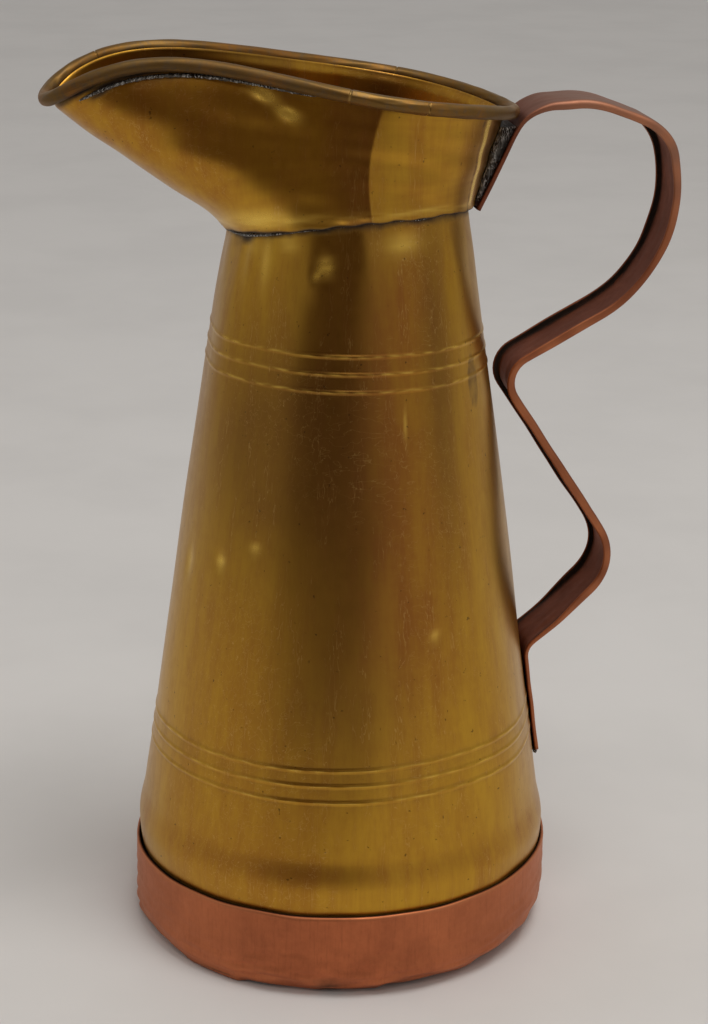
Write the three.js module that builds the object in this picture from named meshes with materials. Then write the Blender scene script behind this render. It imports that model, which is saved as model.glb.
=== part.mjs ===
// A hand-made water jug: a tapered brass body with a helmet-shaped brass spout collar, a wired rim,
// a copper foot band turned under a brass base pan, and a bent copper strap handle, soft-soldered.
// Millimetres, +Z up. The origin is the middle of the flat underside, the spout points to -X and
// the handle to +X.
import * as THREE from "three";

// Overall settings
const TURN = 2 * Math.PI;
const STEPS_AROUND = 64;
const CLEARANCE = 0.3; // between pieces that touch on the real jug
const SHEET = 0.8; // brass sheet

// Body: a straight cone that ends in a short upright skirt inside the foot band
const CONE_FOOT_RADIUS = 62.25; // of the cone's line carried down to z = 0
const CONE_TAPER = 0.1422; // radius lost per millimetre of height
const SKIRT_RADIUS = 58.1;
const SKIRT_FOOT_Z = 9.5;
const SKIRT_TOP_Z = 25.5;
const WAIST_RADIUS = 57.5; // just above the skirt, before it flares out
const WAIST_Z = 29.5;
const CONE_START_Z = 38;
const RIDGE_HEIGHTS = [56.4, 61, 65.2, 166, 170.6, 175.2];
const RIDGE_RISE = 0.35;
const RIDGE_HALF_WIDTH = 1;

// Neck line, where the collar meets the body: highest beside the handle, dipping under the spout
const NECK_Z = 209.3;
const NECK_LEAN = 2.7;
const NECK_DIP = 3.6;
const NECK_OVERLAP = 1.2; // the body's top stands this far inside the collar

// Mouth: the middle line of the rim bead, from the spout tip round the back
const MOUTH_MIDDLE_X = -18;
const MOUTH_HALF_LENGTH = 62.2;
const MOUTH_WIDTH = [0.42, 0.4, 0.12, -0.39]; // cubic in u: width as a part of the length
const MOUTH_HEIGHT = [244, -11.7, 0, 9.3, -9]; // quartic in u
const BEAD_RADIUS = 2;
const BEAD_WALL = 0.65;
const BEAD_SLOT = 0.7; // half of the open angle where the bead was split, in radians
const WIRE_RADIUS = 1.02;
const COLLAR_GAP = BEAD_RADIUS + CLEARANCE; // from the bead's middle to the collar's upper edge

// Foot: copper band, brass base pan
const BAND_SHEET = 0.8;
const BAND_RADIUS = 59.2;
const BAND_TOP_Z = 24.6;
const BAND_TOP_LEAN = 0.9; // the upper edge is cut a little askew, highest at BAND_LEAN_ANGLE
const BAND_LEAN_ANGLE = -0.5;
const BAND_CORNER_Z = 8.5;
const CONTACT_RADIUS = 53.4; // where the rounded lower corner meets the ground
const CONTACT_SHIFT = -1.3; // the hand-beaten corner lies off centre
const CONTACT_SHIFT_ANGLE = -1;
const CONTACT_WAVE = 0.7; // and waves in and out round the foot
const CONTACT_WAVES = 5;
const CONTACT_WAVE_ANGLE = -0.08;
const FLANGE_INNER_RADIUS = 45;
const PAN_PANEL_RADIUS = 42;
const PAN_STEP = 2.5; // the panel's raised edge, measured outwards
const PAN_STEP_SHIFT = 0.5; // the upper side of that edge lies this much further in
const PAN_MARGIN_RADIUS = 49.5;
const PAN_MARGIN_Z = 1.2;
const PAN_WALL_RADIUS = 56.7;
const PAN_CORNER_Z = 10;
const PAN_RIM_Z = 16;

// Handle: the outer face of the strap seen from the side, as corners [x, z, bend radius]
const STRAP_WIDTH = 18.5;
const STRAP_SHEET = 1;
const FLANGE_DEPTH = 2.2;
const FLAT_DEPTH = 1.15; // at the two soldered ends
const TOP_CUP = -1.3; // the upper leg is hollowed to the collar, away from the flanges
const FOOT_CUP = 0.8; // the lower leg is hollowed to the body
const EDGE_ROUND = 0.7; // on the outer corners of the channel
const BEND_FILLET = 0.6; // in its inner corners
const FLAT_FILLET = 0.05; // the same at the flat ends
// Stretches over which the section changes, in lengths from the top end or from the foot end
const CHANNEL_FROM_TOP = [24, 42];
const CHANNEL_FROM_FOOT = [34, 58];
const CUP_FROM_TOP = [20, 34];
const CUP_FROM_FOOT = [30, 44];
const LEG_STANDOFF = 1.85;
const STRAIGHT_STEP = 9; // between the strap's sections on a straight run
const BEND_STEP = 3.5;
const LEG_TOP_Z = 79.2;
const LEG_FOOT_Z = 48.5;
const STRAP_CORNERS = [
  [35.2, 206.6, 0],
  [48.4, 235.2, 12],
  [65.8, 236.6, 28],
  [88, 228.2, 15],
  [95.2, 189.8, 41],
  [43, 160.9, 6.4],
  [80.4, 104.3, 15.5],
  [coneRadius(LEG_TOP_Z) + LEG_STANDOFF, LEG_TOP_Z, 4],
  [coneRadius(LEG_FOOT_Z) + LEG_STANDOFF, LEG_FOOT_Z, 0],
];

// Solder: radii of the rounded beads, and where each one runs
const NECK_BEAD = 0.42;
const NECK_RUN_BEAD = 0.45; // added where the solder ran thick
const NECK_RUN_ANGLE = 3.6;
const NECK_RUN_SPREAD = 0.45;
const RIM_SOLDER_RUN = [-1.35, -0.45]; // along the mouth, on the -Y cheek of the spout
const RIM_SOLDER_BEAD = 0.55;
const RIM_SOLDER_LEVEL = 0.9; // of the collar's height
const RIM_SOLDER_STANDOFF = 0.35;
const RIM_SOLDER_SAG = 0.2;
const WEDGE_HALF_ANGLE = 0.2; // of the wedge between the collar and the strap
const WEDGE_LEVELS = [0.06, 0.78];
const WEDGE_WALL_GAP = 0.35;
const WEDGE_STRAP_GAP = 0.4;
const HANDLE_FOOT_BEAD = 0.5;
const HANDLE_FOOT_HALF_ANGLE = 0.15;
const BASE_SOLDER_HEIGHT = 2.4;
const BASE_SOLDER_WIDTH = 1.4;

const brass = { color: 0x9a7420, roughness: 0.36, metalness: 1 };
const tarnishedBrass = { color: 0x6a4a20, roughness: 0.45, metalness: 1 };
const copper = { color: 0x96502f, roughness: 0.5, metalness: 1 };
const solder = { color: 0x6c6a66, roughness: 0.6, metalness: 0.8 };
const iron = { color: 0x55504a, roughness: 0.6, metalness: 1 };

const jug = new THREE.Group();

function coneRadius(z) {
  return CONE_FOOT_RADIUS - CONE_TAPER * z;
}

function neckLine(angle) {
  return NECK_Z + NECK_LEAN * Math.cos(angle) - NECK_DIP * Math.cos(angle) ** 2;
}

function polynomial(coefficients, u) {
  return coefficients.reduceRight((sum, c) => sum * u + c, 0);
}

function range(count, from, to) {
  return Array.from({ length: count + 1 }, (_, i) => from + ((to - from) * i) / count);
}

// Angles once around, without the repeated last one.
function around(count = STEPS_AROUND) {
  return range(count, 0, TURN).slice(0, count);
}

function polar(radius, angle, z) {
  return new THREE.Vector3(radius * Math.cos(angle), radius * Math.sin(angle), z);
}

// A closed body from rings of points. The rings either close on each other or end in caps,
// whose triangles index one ring.
function loft(rings, caps) {
  const size = rings[0].length;
  const closed = caps === undefined;
  const index = [];
  const joins = closed ? rings.length : rings.length - 1;
  for (let i = 0; i < joins; i++) {
    const here = i * size;
    const next = ((i + 1) % rings.length) * size;
    for (let j = 0; j < size; j++) {
      const k = (j + 1) % size;
      index.push(here + j, next + j, next + k);
      index.push(here + j, next + k, here + k);
    }
  }
  if (!closed) {
    const last = (rings.length - 1) * size;
    for (const [a, b, c] of caps) {
      index.push(a, b, c);
      index.push(last + a, last + c, last + b);
    }
  }
  const geometry = new THREE.BufferGeometry().setFromPoints(rings.flat());
  geometry.setIndex(facingOut(geometry, index));
  geometry.computeVertexNormals();
  return geometry;
}

// The same triangles, turned round if they enclose a negative volume.
function facingOut(geometry, index) {
  const corner = geometry.getAttribute("position");
  const [a, b, c] = [new THREE.Vector3(), new THREE.Vector3(), new THREE.Vector3()];
  let volume = 0;
  for (let i = 0; i < index.length; i += 3) {
    a.fromBufferAttribute(corner, index[i]);
    b.fromBufferAttribute(corner, index[i + 1]);
    c.fromBufferAttribute(corner, index[i + 2]);
    volume += a.dot(b.cross(c));
  }
  return volume < 0 ? index.slice().reverse() : index;
}

// Triangles over a section, each listed in the section's own order round its edge.
function capsOf(section) {
  const triangles = THREE.ShapeUtils.triangulateShape(section, []);
  return triangles.map((corners) => corners.slice().sort((p, q) => p - q));
}

function roundSection(count, radius) {
  return around(count).map((a) => new THREE.Vector2(radius * Math.cos(a), radius * Math.sin(a)));
}

function add(name, geometry, look) {
  const mesh = new THREE.Mesh(geometry, new THREE.MeshStandardMaterial(look));
  mesh.name = name;
  jug.add(mesh);
}

// Body shell: outer line with its six raised ridges, then back down the plain inner line.
function bodyShell() {
  const foot = [[SKIRT_RADIUS, SKIRT_FOOT_Z], [SKIRT_RADIUS, SKIRT_TOP_Z], [WAIST_RADIUS, WAIST_Z]];
  const ridges = RIDGE_HEIGHTS.flatMap((z) => [
    [coneRadius(z - RIDGE_HALF_WIDTH), z - RIDGE_HALF_WIDTH],
    [coneRadius(z) + RIDGE_RISE, z],
    [coneRadius(z + RIDGE_HALF_WIDTH), z + RIDGE_HALF_WIDTH],
  ]);
  const rings = around().map((angle) => {
    const top = neckLine(angle) + NECK_OVERLAP;
    const start = [coneRadius(CONE_START_Z), CONE_START_Z];
    const end = [coneRadius(top), top];
    const outer = [...foot, start, ...ridges, end];
    const inner = [end, start, ...foot.slice().reverse()].map(([r, z]) => [r - SHEET, z]);
    return [...outer, ...inner].map(([r, z]) => polar(r, angle, z));
  });
  add("body_shell", loft(rings), brass);
}

// Base pan: a flat panel, a raised margin over the band's flange and a wall inside the body.
function basePan() {
  const quarter = (radius, z) =>
    range(4, 0, 1).map((f) => [
      PAN_MARGIN_RADIUS + (radius - PAN_MARGIN_RADIUS) * Math.sin((f * Math.PI) / 2),
      PAN_CORNER_Z - (PAN_CORNER_Z - z) * Math.cos((f * Math.PI) / 2),
    ]);
  const profile = [
    [0, 0],
    [PAN_PANEL_RADIUS, 0],
    [PAN_PANEL_RADIUS + PAN_STEP, PAN_MARGIN_Z],
    ...quarter(PAN_WALL_RADIUS, PAN_MARGIN_Z),
    [PAN_WALL_RADIUS, PAN_RIM_Z],
    [PAN_WALL_RADIUS - SHEET, PAN_RIM_Z],
    ...quarter(PAN_WALL_RADIUS - SHEET, PAN_MARGIN_Z + SHEET).reverse(),
    [PAN_PANEL_RADIUS + PAN_STEP - PAN_STEP_SHIFT, PAN_MARGIN_Z + SHEET],
    [PAN_PANEL_RADIUS - PAN_STEP_SHIFT, SHEET],
    [0, SHEET],
  ];
  const points = profile.map(([r, z]) => new THREE.Vector2(r, z));
  const geometry = new THREE.LatheGeometry(points, STEPS_AROUND);
  geometry.rotateX(Math.PI / 2);
  add("base_pan", geometry, brass);
}

// Radius where the band's rounded lower corner meets the ground, uneven from hand work.
function contactRadius(angle) {
  const shift = CONTACT_SHIFT * Math.cos(angle - CONTACT_SHIFT_ANGLE);
  const wave = CONTACT_WAVE * Math.cos(CONTACT_WAVES * (angle - CONTACT_WAVE_ANGLE));
  return CONTACT_RADIUS + shift + wave;
}

// Foot band: upright wall, rounded lower corner, and a flange turned under the pan.
function footBand() {
  const corner = (angle, inset) => {
    const contact = contactRadius(angle);
    return range(4, 0, 1).map((f) => [
      contact + (BAND_RADIUS - inset - contact) * Math.cos((f * Math.PI) / 2),
      BAND_CORNER_Z - (BAND_CORNER_Z - inset) * Math.sin((f * Math.PI) / 2),
    ]);
  };
  const rings = around().map((angle) => {
    const top = BAND_TOP_Z + BAND_TOP_LEAN * Math.cos(angle - BAND_LEAN_ANGLE);
    const section = [
      [BAND_RADIUS, top],
      ...corner(angle, 0),
      [FLANGE_INNER_RADIUS, 0],
      [FLANGE_INNER_RADIUS, BAND_SHEET],
      ...corner(angle, BAND_SHEET).reverse(),
      [BAND_RADIUS - BAND_SHEET, top],
    ];
    return section.map(([r, z]) => polar(r, angle, z));
  });
  add("foot_band", loft(rings), copper);
}

// Middle line of the rim bead. u runs from -1 at the spout tip to 1 at the handle.
function mouthPoint(t) {
  const u = -Math.cos(t);
  return new THREE.Vector3(
    MOUTH_MIDDLE_X + MOUTH_HALF_LENGTH * u,
    MOUTH_HALF_LENGTH * polynomial(MOUTH_WIDTH, u) * Math.sin(t),
    polynomial(MOUTH_HEIGHT, u),
  );
}

// Frame of the rim at t: its middle, the level direction outwards, and the one across both.
function mouthFrame(t) {
  const step = 1e-4;
  const middle = mouthPoint(t);
  const along = mouthPoint(t + step).sub(mouthPoint(t - step)).normalize();
  const out = new THREE.Vector3(-along.y, along.x, 0).normalize();
  const across = new THREE.Vector3().crossVectors(along, out).normalize();
  if (across.z < 0) across.negate();
  return { middle, out, across };
}

// Collar wall: a ruled surface from the neck line to the rim. level runs from 0 to 1.
function collarPoint(t, level, inset) {
  const angle = Math.PI - t;
  const neckZ = neckLine(angle);
  const foot = polar(coneRadius(neckZ) + CLEARANCE + SHEET - inset, angle, neckZ);
  const { middle, out } = mouthFrame(t);
  const top = middle.addScaledVector(out, -(COLLAR_GAP + inset));
  return foot.lerp(top, level);
}

function collarSpout() {
  const levels = range(5, 0, 1);
  const rings = around().map((t) => [
    ...levels.map((level) => collarPoint(t, level, 0)),
    ...levels.map((level) => collarPoint(t, level, SHEET)).reverse(),
  ]);
  add("collar_spout", loft(rings), brass);
}

// Rim bead: a tube split along its inner side, slipped over the wire.
function rimBead() {
  const turns = range(10, Math.PI + BEAD_SLOT, 3 * Math.PI - BEAD_SLOT);
  const arc = (radius) => turns.map((a) => [radius * Math.cos(a), radius * Math.sin(a)]);
  const section = [...arc(BEAD_RADIUS), ...arc(BEAD_RADIUS - BEAD_WALL).reverse()];
  add("rim_bead", loft(rimRings(section)), tarnishedBrass);
}

function rimWire() {
  const section = roundSection(6, WIRE_RADIUS).map(({ x, y }) => [x, y]);
  add("rim_wire", loft(rimRings(section)), iron);
}

function rimRings(section) {
  return around().map((t) => {
    const { middle, out, across } = mouthFrame(t);
    return section.map(([a, b]) =>
      middle.clone().addScaledVector(out, a).addScaledVector(across, b),
    );
  });
}

// The strap's outer face as a line of points with directions: straight runs and round bends.
function strapPath() {
  const corners = STRAP_CORNERS.map(([x, z]) => new THREE.Vector2(x, z));
  const path = new THREE.CurvePath();
  let from = corners[0];
  for (let i = 1; i < corners.length - 1; i++) {
    const corner = corners[i];
    const radius = STRAP_CORNERS[i][2];
    const before = corners[i - 1].clone().sub(corner).normalize();
    const after = corners[i + 1].clone().sub(corner).normalize();
    const half = Math.acos(before.dot(after)) / 2;
    const start = corner.clone().addScaledVector(before, radius / Math.tan(half));
    const end = corner.clone().addScaledVector(after, radius / Math.tan(half));
    const bisector = before.clone().add(after).normalize();
    const centre = corner.clone().addScaledVector(bisector, radius / Math.sin(half));
    const startAngle = start.clone().sub(centre).angle();
    const endAngle = end.clone().sub(centre).angle();
    const clockwise = before.cross(after) > 0;
    path.add(new THREE.LineCurve(from, start));
    path.add(
      new THREE.EllipseCurve(centre.x, centre.y, radius, radius, startAngle, endAngle, clockwise),
    );
    from = end;
  }
  path.add(new THREE.LineCurve(from, corners.at(-1)));
  return path;
}

// Rises from 0 to 1 over a stretch.
function fade(length, [from, to]) {
  return THREE.MathUtils.smoothstep(length, from, to);
}

// Channel section at a length along the strap: [sideways, depth below the outer face].
function strapSection(length, total) {
  const left = total - length;
  const channel = fade(length, CHANNEL_FROM_TOP) * fade(left, CHANNEL_FROM_FOOT);
  const cup =
    TOP_CUP * (1 - fade(length, CUP_FROM_TOP)) + FOOT_CUP * (1 - fade(left, CUP_FROM_FOOT));
  const half = STRAP_WIDTH / 2;
  const edge = FLAT_DEPTH + (FLANGE_DEPTH - FLAT_DEPTH) * channel;
  const fillet = BEND_FILLET * channel + FLAT_FILLET;
  const side = [
    [half, edge],
    [half, 2 * FLAT_FILLET + EDGE_ROUND * channel],
    [half - EDGE_ROUND, 0],
    [half / 3, 0],
  ];
  const inside = [
    [half / 3, STRAP_SHEET],
    [half - STRAP_SHEET - BEND_FILLET, STRAP_SHEET],
    [half - STRAP_SHEET, STRAP_SHEET + fillet],
    [half - STRAP_SHEET, edge],
  ];
  const mirrored = (points) => points.map(([v, h]) => [-v, h]).reverse();
  const outline = [...side, ...mirrored(side), ...mirrored(inside), ...inside];
  return outline.map(([v, h]) => new THREE.Vector2(v, h + cup * (v / half) ** 2));
}

function handleStrap() {
  const path = strapPath();
  const lengths = path.getCurveLengths();
  const total = path.getLength();
  const stations = [0];
  path.curves.forEach((curve, i) => {
    const begin = i === 0 ? 0 : lengths[i - 1];
    const step = curve.isLineCurve ? STRAIGHT_STEP : BEND_STEP;
    const count = Math.max(1, Math.round(curve.getLength() / step));
    range(count, begin, lengths[i])
      .slice(1)
      .forEach((length) => stations.push(length));
  });
  const sections = stations.map((length) => strapSection(length, total));
  const rings = stations.map((length, i) => {
    const at = Math.min(length / total, 1);
    const point = path.getPoint(at);
    const along = path.getTangent(at);
    return sections[i].map(
      ({ x: sideways, y: depth }) =>
        new THREE.Vector3(point.x + along.y * depth, sideways, point.y - along.x * depth),
    );
  });
  add("handle_strap", loft(rings, capsOf(sections[0])), copper);
}

// Neck solder: a fillet under the collar's lower edge, with a heavy run below the spout.
function neckSolder() {
  const rings = around().map((angle) => {
    const run = Math.exp(-(((angle - NECK_RUN_ANGLE) / NECK_RUN_SPREAD) ** 2));
    const size = NECK_BEAD + NECK_RUN_BEAD * run;
    const z = neckLine(angle) - CLEARANCE - size;
    const radius = coneRadius(z) + CLEARANCE + size;
    return roundSection(6, size).map(({ x, y }) => polar(radius + x, angle, z + y));
  });
  add("neck_solder", loft(rings), solder);
}

// Solder between the collar and the upper leg of the handle.
function handleTopSolder() {
  const [[footX, footZ], [cornerX, cornerZ]] = STRAP_CORNERS;
  const lean = (cornerX - footX) / (cornerZ - footZ);
  const offWall = new THREE.Vector3(WEDGE_WALL_GAP, 0, 0);
  const spread = range(4, -WEDGE_HALF_ANGLE, WEDGE_HALF_ANGLE);
  const rings = range(6, ...WEDGE_LEVELS).map((level) => {
    const wall = spread.map((turn) => collarPoint(Math.PI - turn, level, 0).add(offWall));
    const strap = wall.map(({ y, z }) => {
      const cup = TOP_CUP * ((2 * y) / STRAP_WIDTH) ** 2;
      return new THREE.Vector3(footX + (z - footZ) * lean + cup - WEDGE_STRAP_GAP, y, z);
    });
    return [...wall, ...strap.reverse()];
  });
  const section = rings[0].map(({ x, y }) => new THREE.Vector2(x, y));
  add("handle_top_solder", loft(rings, capsOf(section)), solder);
}

// Solder along the lower end of the handle.
function handleFootSolder() {
  const section = roundSection(6, HANDLE_FOOT_BEAD);
  const z = LEG_FOOT_Z - CLEARANCE - HANDLE_FOOT_BEAD;
  const radius = coneRadius(z) + CLEARANCE + HANDLE_FOOT_BEAD;
  const rings = range(8, -HANDLE_FOOT_HALF_ANGLE, HANDLE_FOOT_HALF_ANGLE).map((angle) =>
    section.map(({ x, y }) => polar(radius + x, angle, z + y)),
  );
  add("handle_foot_solder", loft(rings, capsOf(section)), solder);
}

// Solder run under the rim, along one cheek of the spout.
function rimSolder() {
  const section = roundSection(6, RIM_SOLDER_BEAD);
  const standoff = CLEARANCE + RIM_SOLDER_BEAD + RIM_SOLDER_STANDOFF;
  const rings = range(14, ...RIM_SOLDER_RUN).map((t) => {
    const { out } = mouthFrame(t);
    const centre = collarPoint(t, RIM_SOLDER_LEVEL, 0).addScaledVector(out, standoff);
    return section.map(({ x, y }) =>
      centre
        .clone()
        .addScaledVector(out, x)
        .add(new THREE.Vector3(0, 0, y - RIM_SOLDER_SAG)),
    );
  });
  add("rim_solder", loft(rings, capsOf(section)), solder);
}

// Solder that makes the base watertight, run into the corner inside the body.
function baseSolder() {
  const outer = SKIRT_RADIUS - SHEET - CLEARANCE;
  const foot = PAN_RIM_Z + CLEARANCE;
  const points = [
    new THREE.Vector2(outer, foot),
    new THREE.Vector2(outer, foot + BASE_SOLDER_HEIGHT),
    new THREE.Vector2(outer - BASE_SOLDER_WIDTH, foot),
    new THREE.Vector2(outer, foot),
  ];
  const geometry = new THREE.LatheGeometry(points, STEPS_AROUND);
  geometry.rotateX(Math.PI / 2);
  add("base_solder", geometry, solder);
}

bodyShell();
basePan();
footBand();
collarSpout();
rimBead();
rimWire();
handleStrap();
neckSolder();
rimSolder();
handleTopSolder();
handleFootSolder();
baseSolder();

export default jug;
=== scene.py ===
"""The looks of a hand-made water jug: formed brass sheet, a wired rim, copper foot and handle."""
import math

import bmesh
import bpy
import numpy as np
from mathutils import Matrix, Vector


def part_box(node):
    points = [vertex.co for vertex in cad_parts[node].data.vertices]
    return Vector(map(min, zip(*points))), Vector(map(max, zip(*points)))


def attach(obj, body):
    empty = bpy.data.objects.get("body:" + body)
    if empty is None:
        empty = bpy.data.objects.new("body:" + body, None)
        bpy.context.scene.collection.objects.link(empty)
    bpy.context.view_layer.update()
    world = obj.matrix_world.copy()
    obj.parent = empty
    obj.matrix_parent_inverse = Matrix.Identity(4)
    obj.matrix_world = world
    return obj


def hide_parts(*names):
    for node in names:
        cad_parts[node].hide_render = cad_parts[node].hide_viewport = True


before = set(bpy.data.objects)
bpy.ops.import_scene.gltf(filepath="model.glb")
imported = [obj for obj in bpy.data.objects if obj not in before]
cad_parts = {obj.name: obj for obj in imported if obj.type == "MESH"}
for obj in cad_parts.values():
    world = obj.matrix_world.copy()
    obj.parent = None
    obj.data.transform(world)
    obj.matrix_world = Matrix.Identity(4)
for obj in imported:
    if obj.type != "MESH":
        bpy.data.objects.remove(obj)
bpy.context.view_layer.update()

bl_info = {
    "name": "Water Jug",
    "version": (1, 0, 0),
    "blender": (4, 5, 0),
    "location": "3D View > Sidebar > Jug",
    "description": "Forms a brass and copper water jug around its frame",
    "category": "Add Mesh",
}

MM = 0.001
TURN = 2 * math.pi
DEGREE = TURN / 360
SEED = 7

# Sizes that the frame gives
bead_low, bead_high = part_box("rim_bead")
strap_low, strap_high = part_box("handle_strap")

# Body: a straight cone that flares and rolls under just above the foot band
CONE_FOOT_RADIUS = 62.25 * MM
CONE_TAPER = 0.1422
FLARE_TOP = 40 * MM
ROLL_TOP = 30.5 * MM
ROLL_WIDEST = 58.35 * MM
ROLL_BEND = 38 * MM
SKIRT_RADIUS = 57.6 * MM
BODY_FOOT_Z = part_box("body_shell")[0].z
LOWER_RIDGES = (56.4 * MM, 61 * MM, 65.2 * MM)
UPPER_RIDGES = (166 * MM, 170.6 * MM, 175.2 * MM)
SEAM_ANGLE = 14 * DEGREE
SEAM_STEP = 0.4 * MM  # of the lap seam behind the handle

# Neck line, where the collar slips over the body
NECK_Z = 209.3 * MM
NECK_LEAN = 2.7 * MM
NECK_DIP = 3.6 * MM
NECK_OVERLAP = 1.2 * MM

# Mouth: the middle line of the rim, u from -1 at the spout tip to 1 at the handle
MOUTH_WIDTH = (0.42, 0.4, 0.12, -0.39)
MOUTH_HEIGHT = (244 * MM, -11.7 * MM, 0, 9.3 * MM, -9 * MM)
MOUTH_MIDDLE_X = (bead_low.x + bead_high.x) / 2
MOUTH_HALF_LENGTH = (bead_high.x - bead_low.x) / 2 - 2 * MM  # to the middle of the rim
NECK_GAP = 0.3 * MM  # between the collar's inner face and the body
RIM_GAP = 0.2 * MM  # between the collar's edge and the rolled rim
COLLAR_CREASE = (1.59, 0.34)  # where the cheeks meet the round back: at the neck, and its lean

# Foot
BAND_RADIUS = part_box("foot_band")[1].x
BAND_TOP_Z = 24.6 * MM
BAND_TOP_LEAN = 0.9 * MM
BAND_LEAN_ANGLE = -0.5
BAND_CORNER_Z = 8.5 * MM
BAND_CORNER_RISE = 5 * MM  # where the corner was beaten in highest
FLANGE_INNER_RADIUS = 45 * MM
FLANGE_STEPS = 8
PAN_PANEL_RADIUS = 42 * MM
PAN_STEP = (0.5 * MM, 2.5 * MM)  # start and end of the panel's raised edge, outside the panel
PAN_MARGIN_RADIUS = 49.5 * MM
PAN_MARGIN_Z = 1.2 * MM
PAN_WALL_RADIUS = 56.2 * MM
PAN_CORNER_Z = 10 * MM
PAN_RIM_Z = 16 * MM

# Handle: a strap with turned edges, soldered at its two ends
LEG_STANDOFF = 1.85 * MM
LEG_HEIGHTS = (79.2 * MM, 48.5 * MM)
LINE_STEP = 1.1 * MM  # between the strap's sections
STRAP_SIDE_GAP = 0.15 * MM  # kept inside the frame's width on each side
FLAT_BEND = 0.3 * MM  # radius of the strap's outer edges where it is flat
BEND_GROWTH = 0.95 * MM  # and how much more it is along the channel
FLAT_DEPTH = 1.15 * MM  # at the two soldered ends, where the strap has no flanges
TOP_CUP = -1.3 * MM  # how far the upper leg is hollowed to the collar
FOOT_CUP = 0.8 * MM  # and the lower leg to the body
CHANNEL_FROM_TOP = (24 * MM, 42 * MM)  # where the flanges rise, along the strap from its top end
CHANNEL_FROM_FOOT = (34 * MM, 58 * MM)
CUP_FROM_TOP = (20 * MM, 34 * MM)
CUP_FROM_FOOT = (30 * MM, 44 * MM)

# Solder
RIM_SOLDER_RUN = (-1.62, -0.40)  # along the mouth, on one cheek of the spout
RIM_SOLDER_LEVEL = 0.93  # of the collar's height
FOOT_SOLDER_HALF_ANGLE = 0.17
WEDGE_LEVELS = (0.04, 0.84)
WEDGE_HALF_ANGLE = 0.235

# Points round each piece
BODY_POINTS = 300
COLLAR_POINTS = 340
RIM_POINTS = 380
BAND_POINTS = 480
PAN_POINTS = 180
NECK_SOLDER_POINTS = 520
BASE_SOLDER_POINTS = 240


def cone_radius(z):
    """The cone's straight line: its radius at the ground less the taper times the height."""
    return CONE_FOOT_RADIUS - CONE_TAPER * z


# The strap's outer face seen from the side, as corners (x, z, bend radius)
STRAP_CORNERS = [
    (34.6 * MM, 206.8 * MM, 0),
    (47.9 * MM, 235.3 * MM, 12 * MM),
    (65.8 * MM, 236.6 * MM, 28 * MM),
    (88 * MM, 228.2 * MM, 15 * MM),
    (95.2 * MM, 189.8 * MM, 41 * MM),
    (43 * MM, 160.9 * MM, 6.4 * MM),
    (80.4 * MM, 104.3 * MM, 15.5 * MM),
    (cone_radius(LEG_HEIGHTS[0]) + LEG_STANDOFF, LEG_HEIGHTS[0], 4 * MM),
    (cone_radius(LEG_HEIGHTS[1]) + LEG_STANDOFF, LEG_HEIGHTS[1], 0),
]


# Properties


def length_property(name, description, default):
    return bpy.props.FloatProperty(
        name=name, description=description, default=default, min=0, unit="LENGTH", precision=5
    )


def colour_property(name, description, default):
    return bpy.props.FloatVectorProperty(
        name=name, description=description, default=default, size=3, min=0, max=1, subtype="COLOR"
    )


class JugSizes(bpy.types.PropertyGroup):
    sheet: length_property("Sheet", "Thickness of the brass sheet", 0.8 * MM)
    ridge_rise: length_property("Ridge rise", "Height of the raised lines on the body", 0.22 * MM)
    ridge_width: length_property("Ridge width", "Half width of a raised line", 0.85 * MM)
    wobble: length_property("Wobble", "How far hand work leaves the body out of round", 0.20 * MM)
    bead_radius: length_property("Bead radius", "Radius of the rolled rim", 1.85 * MM)
    bead_wall: length_property("Bead wall", "Thickness of the rolled rim's sheet", 0.65 * MM)
    wire_radius: length_property("Wire radius", "Radius of the wire in the rim", 1.02 * MM)
    band_sheet: length_property("Band sheet", "Thickness of the copper foot band", 0.8 * MM)
    strap_width: length_property("Strap width", "Width of the handle", strap_high.y - strap_low.y)
    strap_sheet: length_property("Strap sheet", "Thickness of the handle's sheet", 1 * MM)
    flange_depth: length_property("Flange depth", "Depth of the handle's turned edges", 2.4 * MM)


class JugColours(bpy.types.PropertyGroup):
    brass: colour_property("Brass", "Clean satin brass", (0.58, 0.32, 0.03))
    brown: colour_property("Brown brass", "Brass toned brown by age", (0.36, 0.135, 0.022))
    rim: colour_property("Rim", "Dull brown brass of the rolled rim", (0.19, 0.105, 0.03))
    copper: colour_property("Copper", "Brushed copper of the foot", (0.57, 0.18, 0.075))
    copper_dark: colour_property("Dark copper", "Copper toned dark on the handle", (0.22, 0.068, 0.036))
    # Also the colour of the painted highlight on the foot band's flanks
    copper_worn_and_highlight: colour_property("Worn copper", "Copper rubbed bright on edges", (0.66, 0.25, 0.11))
    solder: colour_property("Solder", "Dull soft solder", (0.11, 0.102, 0.09))
    wire: colour_property("Wire", "Dark iron wire", (0.10, 0.085, 0.07))
    # Dirt, and also the colour of painted shade
    grime_and_shade: colour_property("Grime", "Dirt in the joints", (0.018, 0.010, 0.006))
    floor: colour_property("Floor", "Pale table top", (0.755, 0.735, 0.715))


# Shapes


def rise(x, low, high):
    """Climbs from 0 at low to 1 at high and is level at both ends: 3 k squared less 2 k cubed."""
    k = np.clip((x - low) / (high - low), 0, 1)
    return k * k * (3 - 2 * k)


def hump(x, centre, width):
    """A bell, 1 at centre: e to the power of minus the squared distance in widths."""
    return np.exp(-(((x - centre) / width) ** 2))


def angle_from(angle, centre):
    """The turn from centre to angle, the short way round."""
    return (angle - centre + math.pi) % TURN - math.pi


def about(angle, centre, width):
    """A bell round a turning angle, 1 at centre."""
    return hump(angle_from(angle, centre), 0, width)


def polynomial(coefficients, u):
    """The sum of coefficients times rising powers of u."""
    return sum(c * u**i for i, c in enumerate(coefficients))


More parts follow.
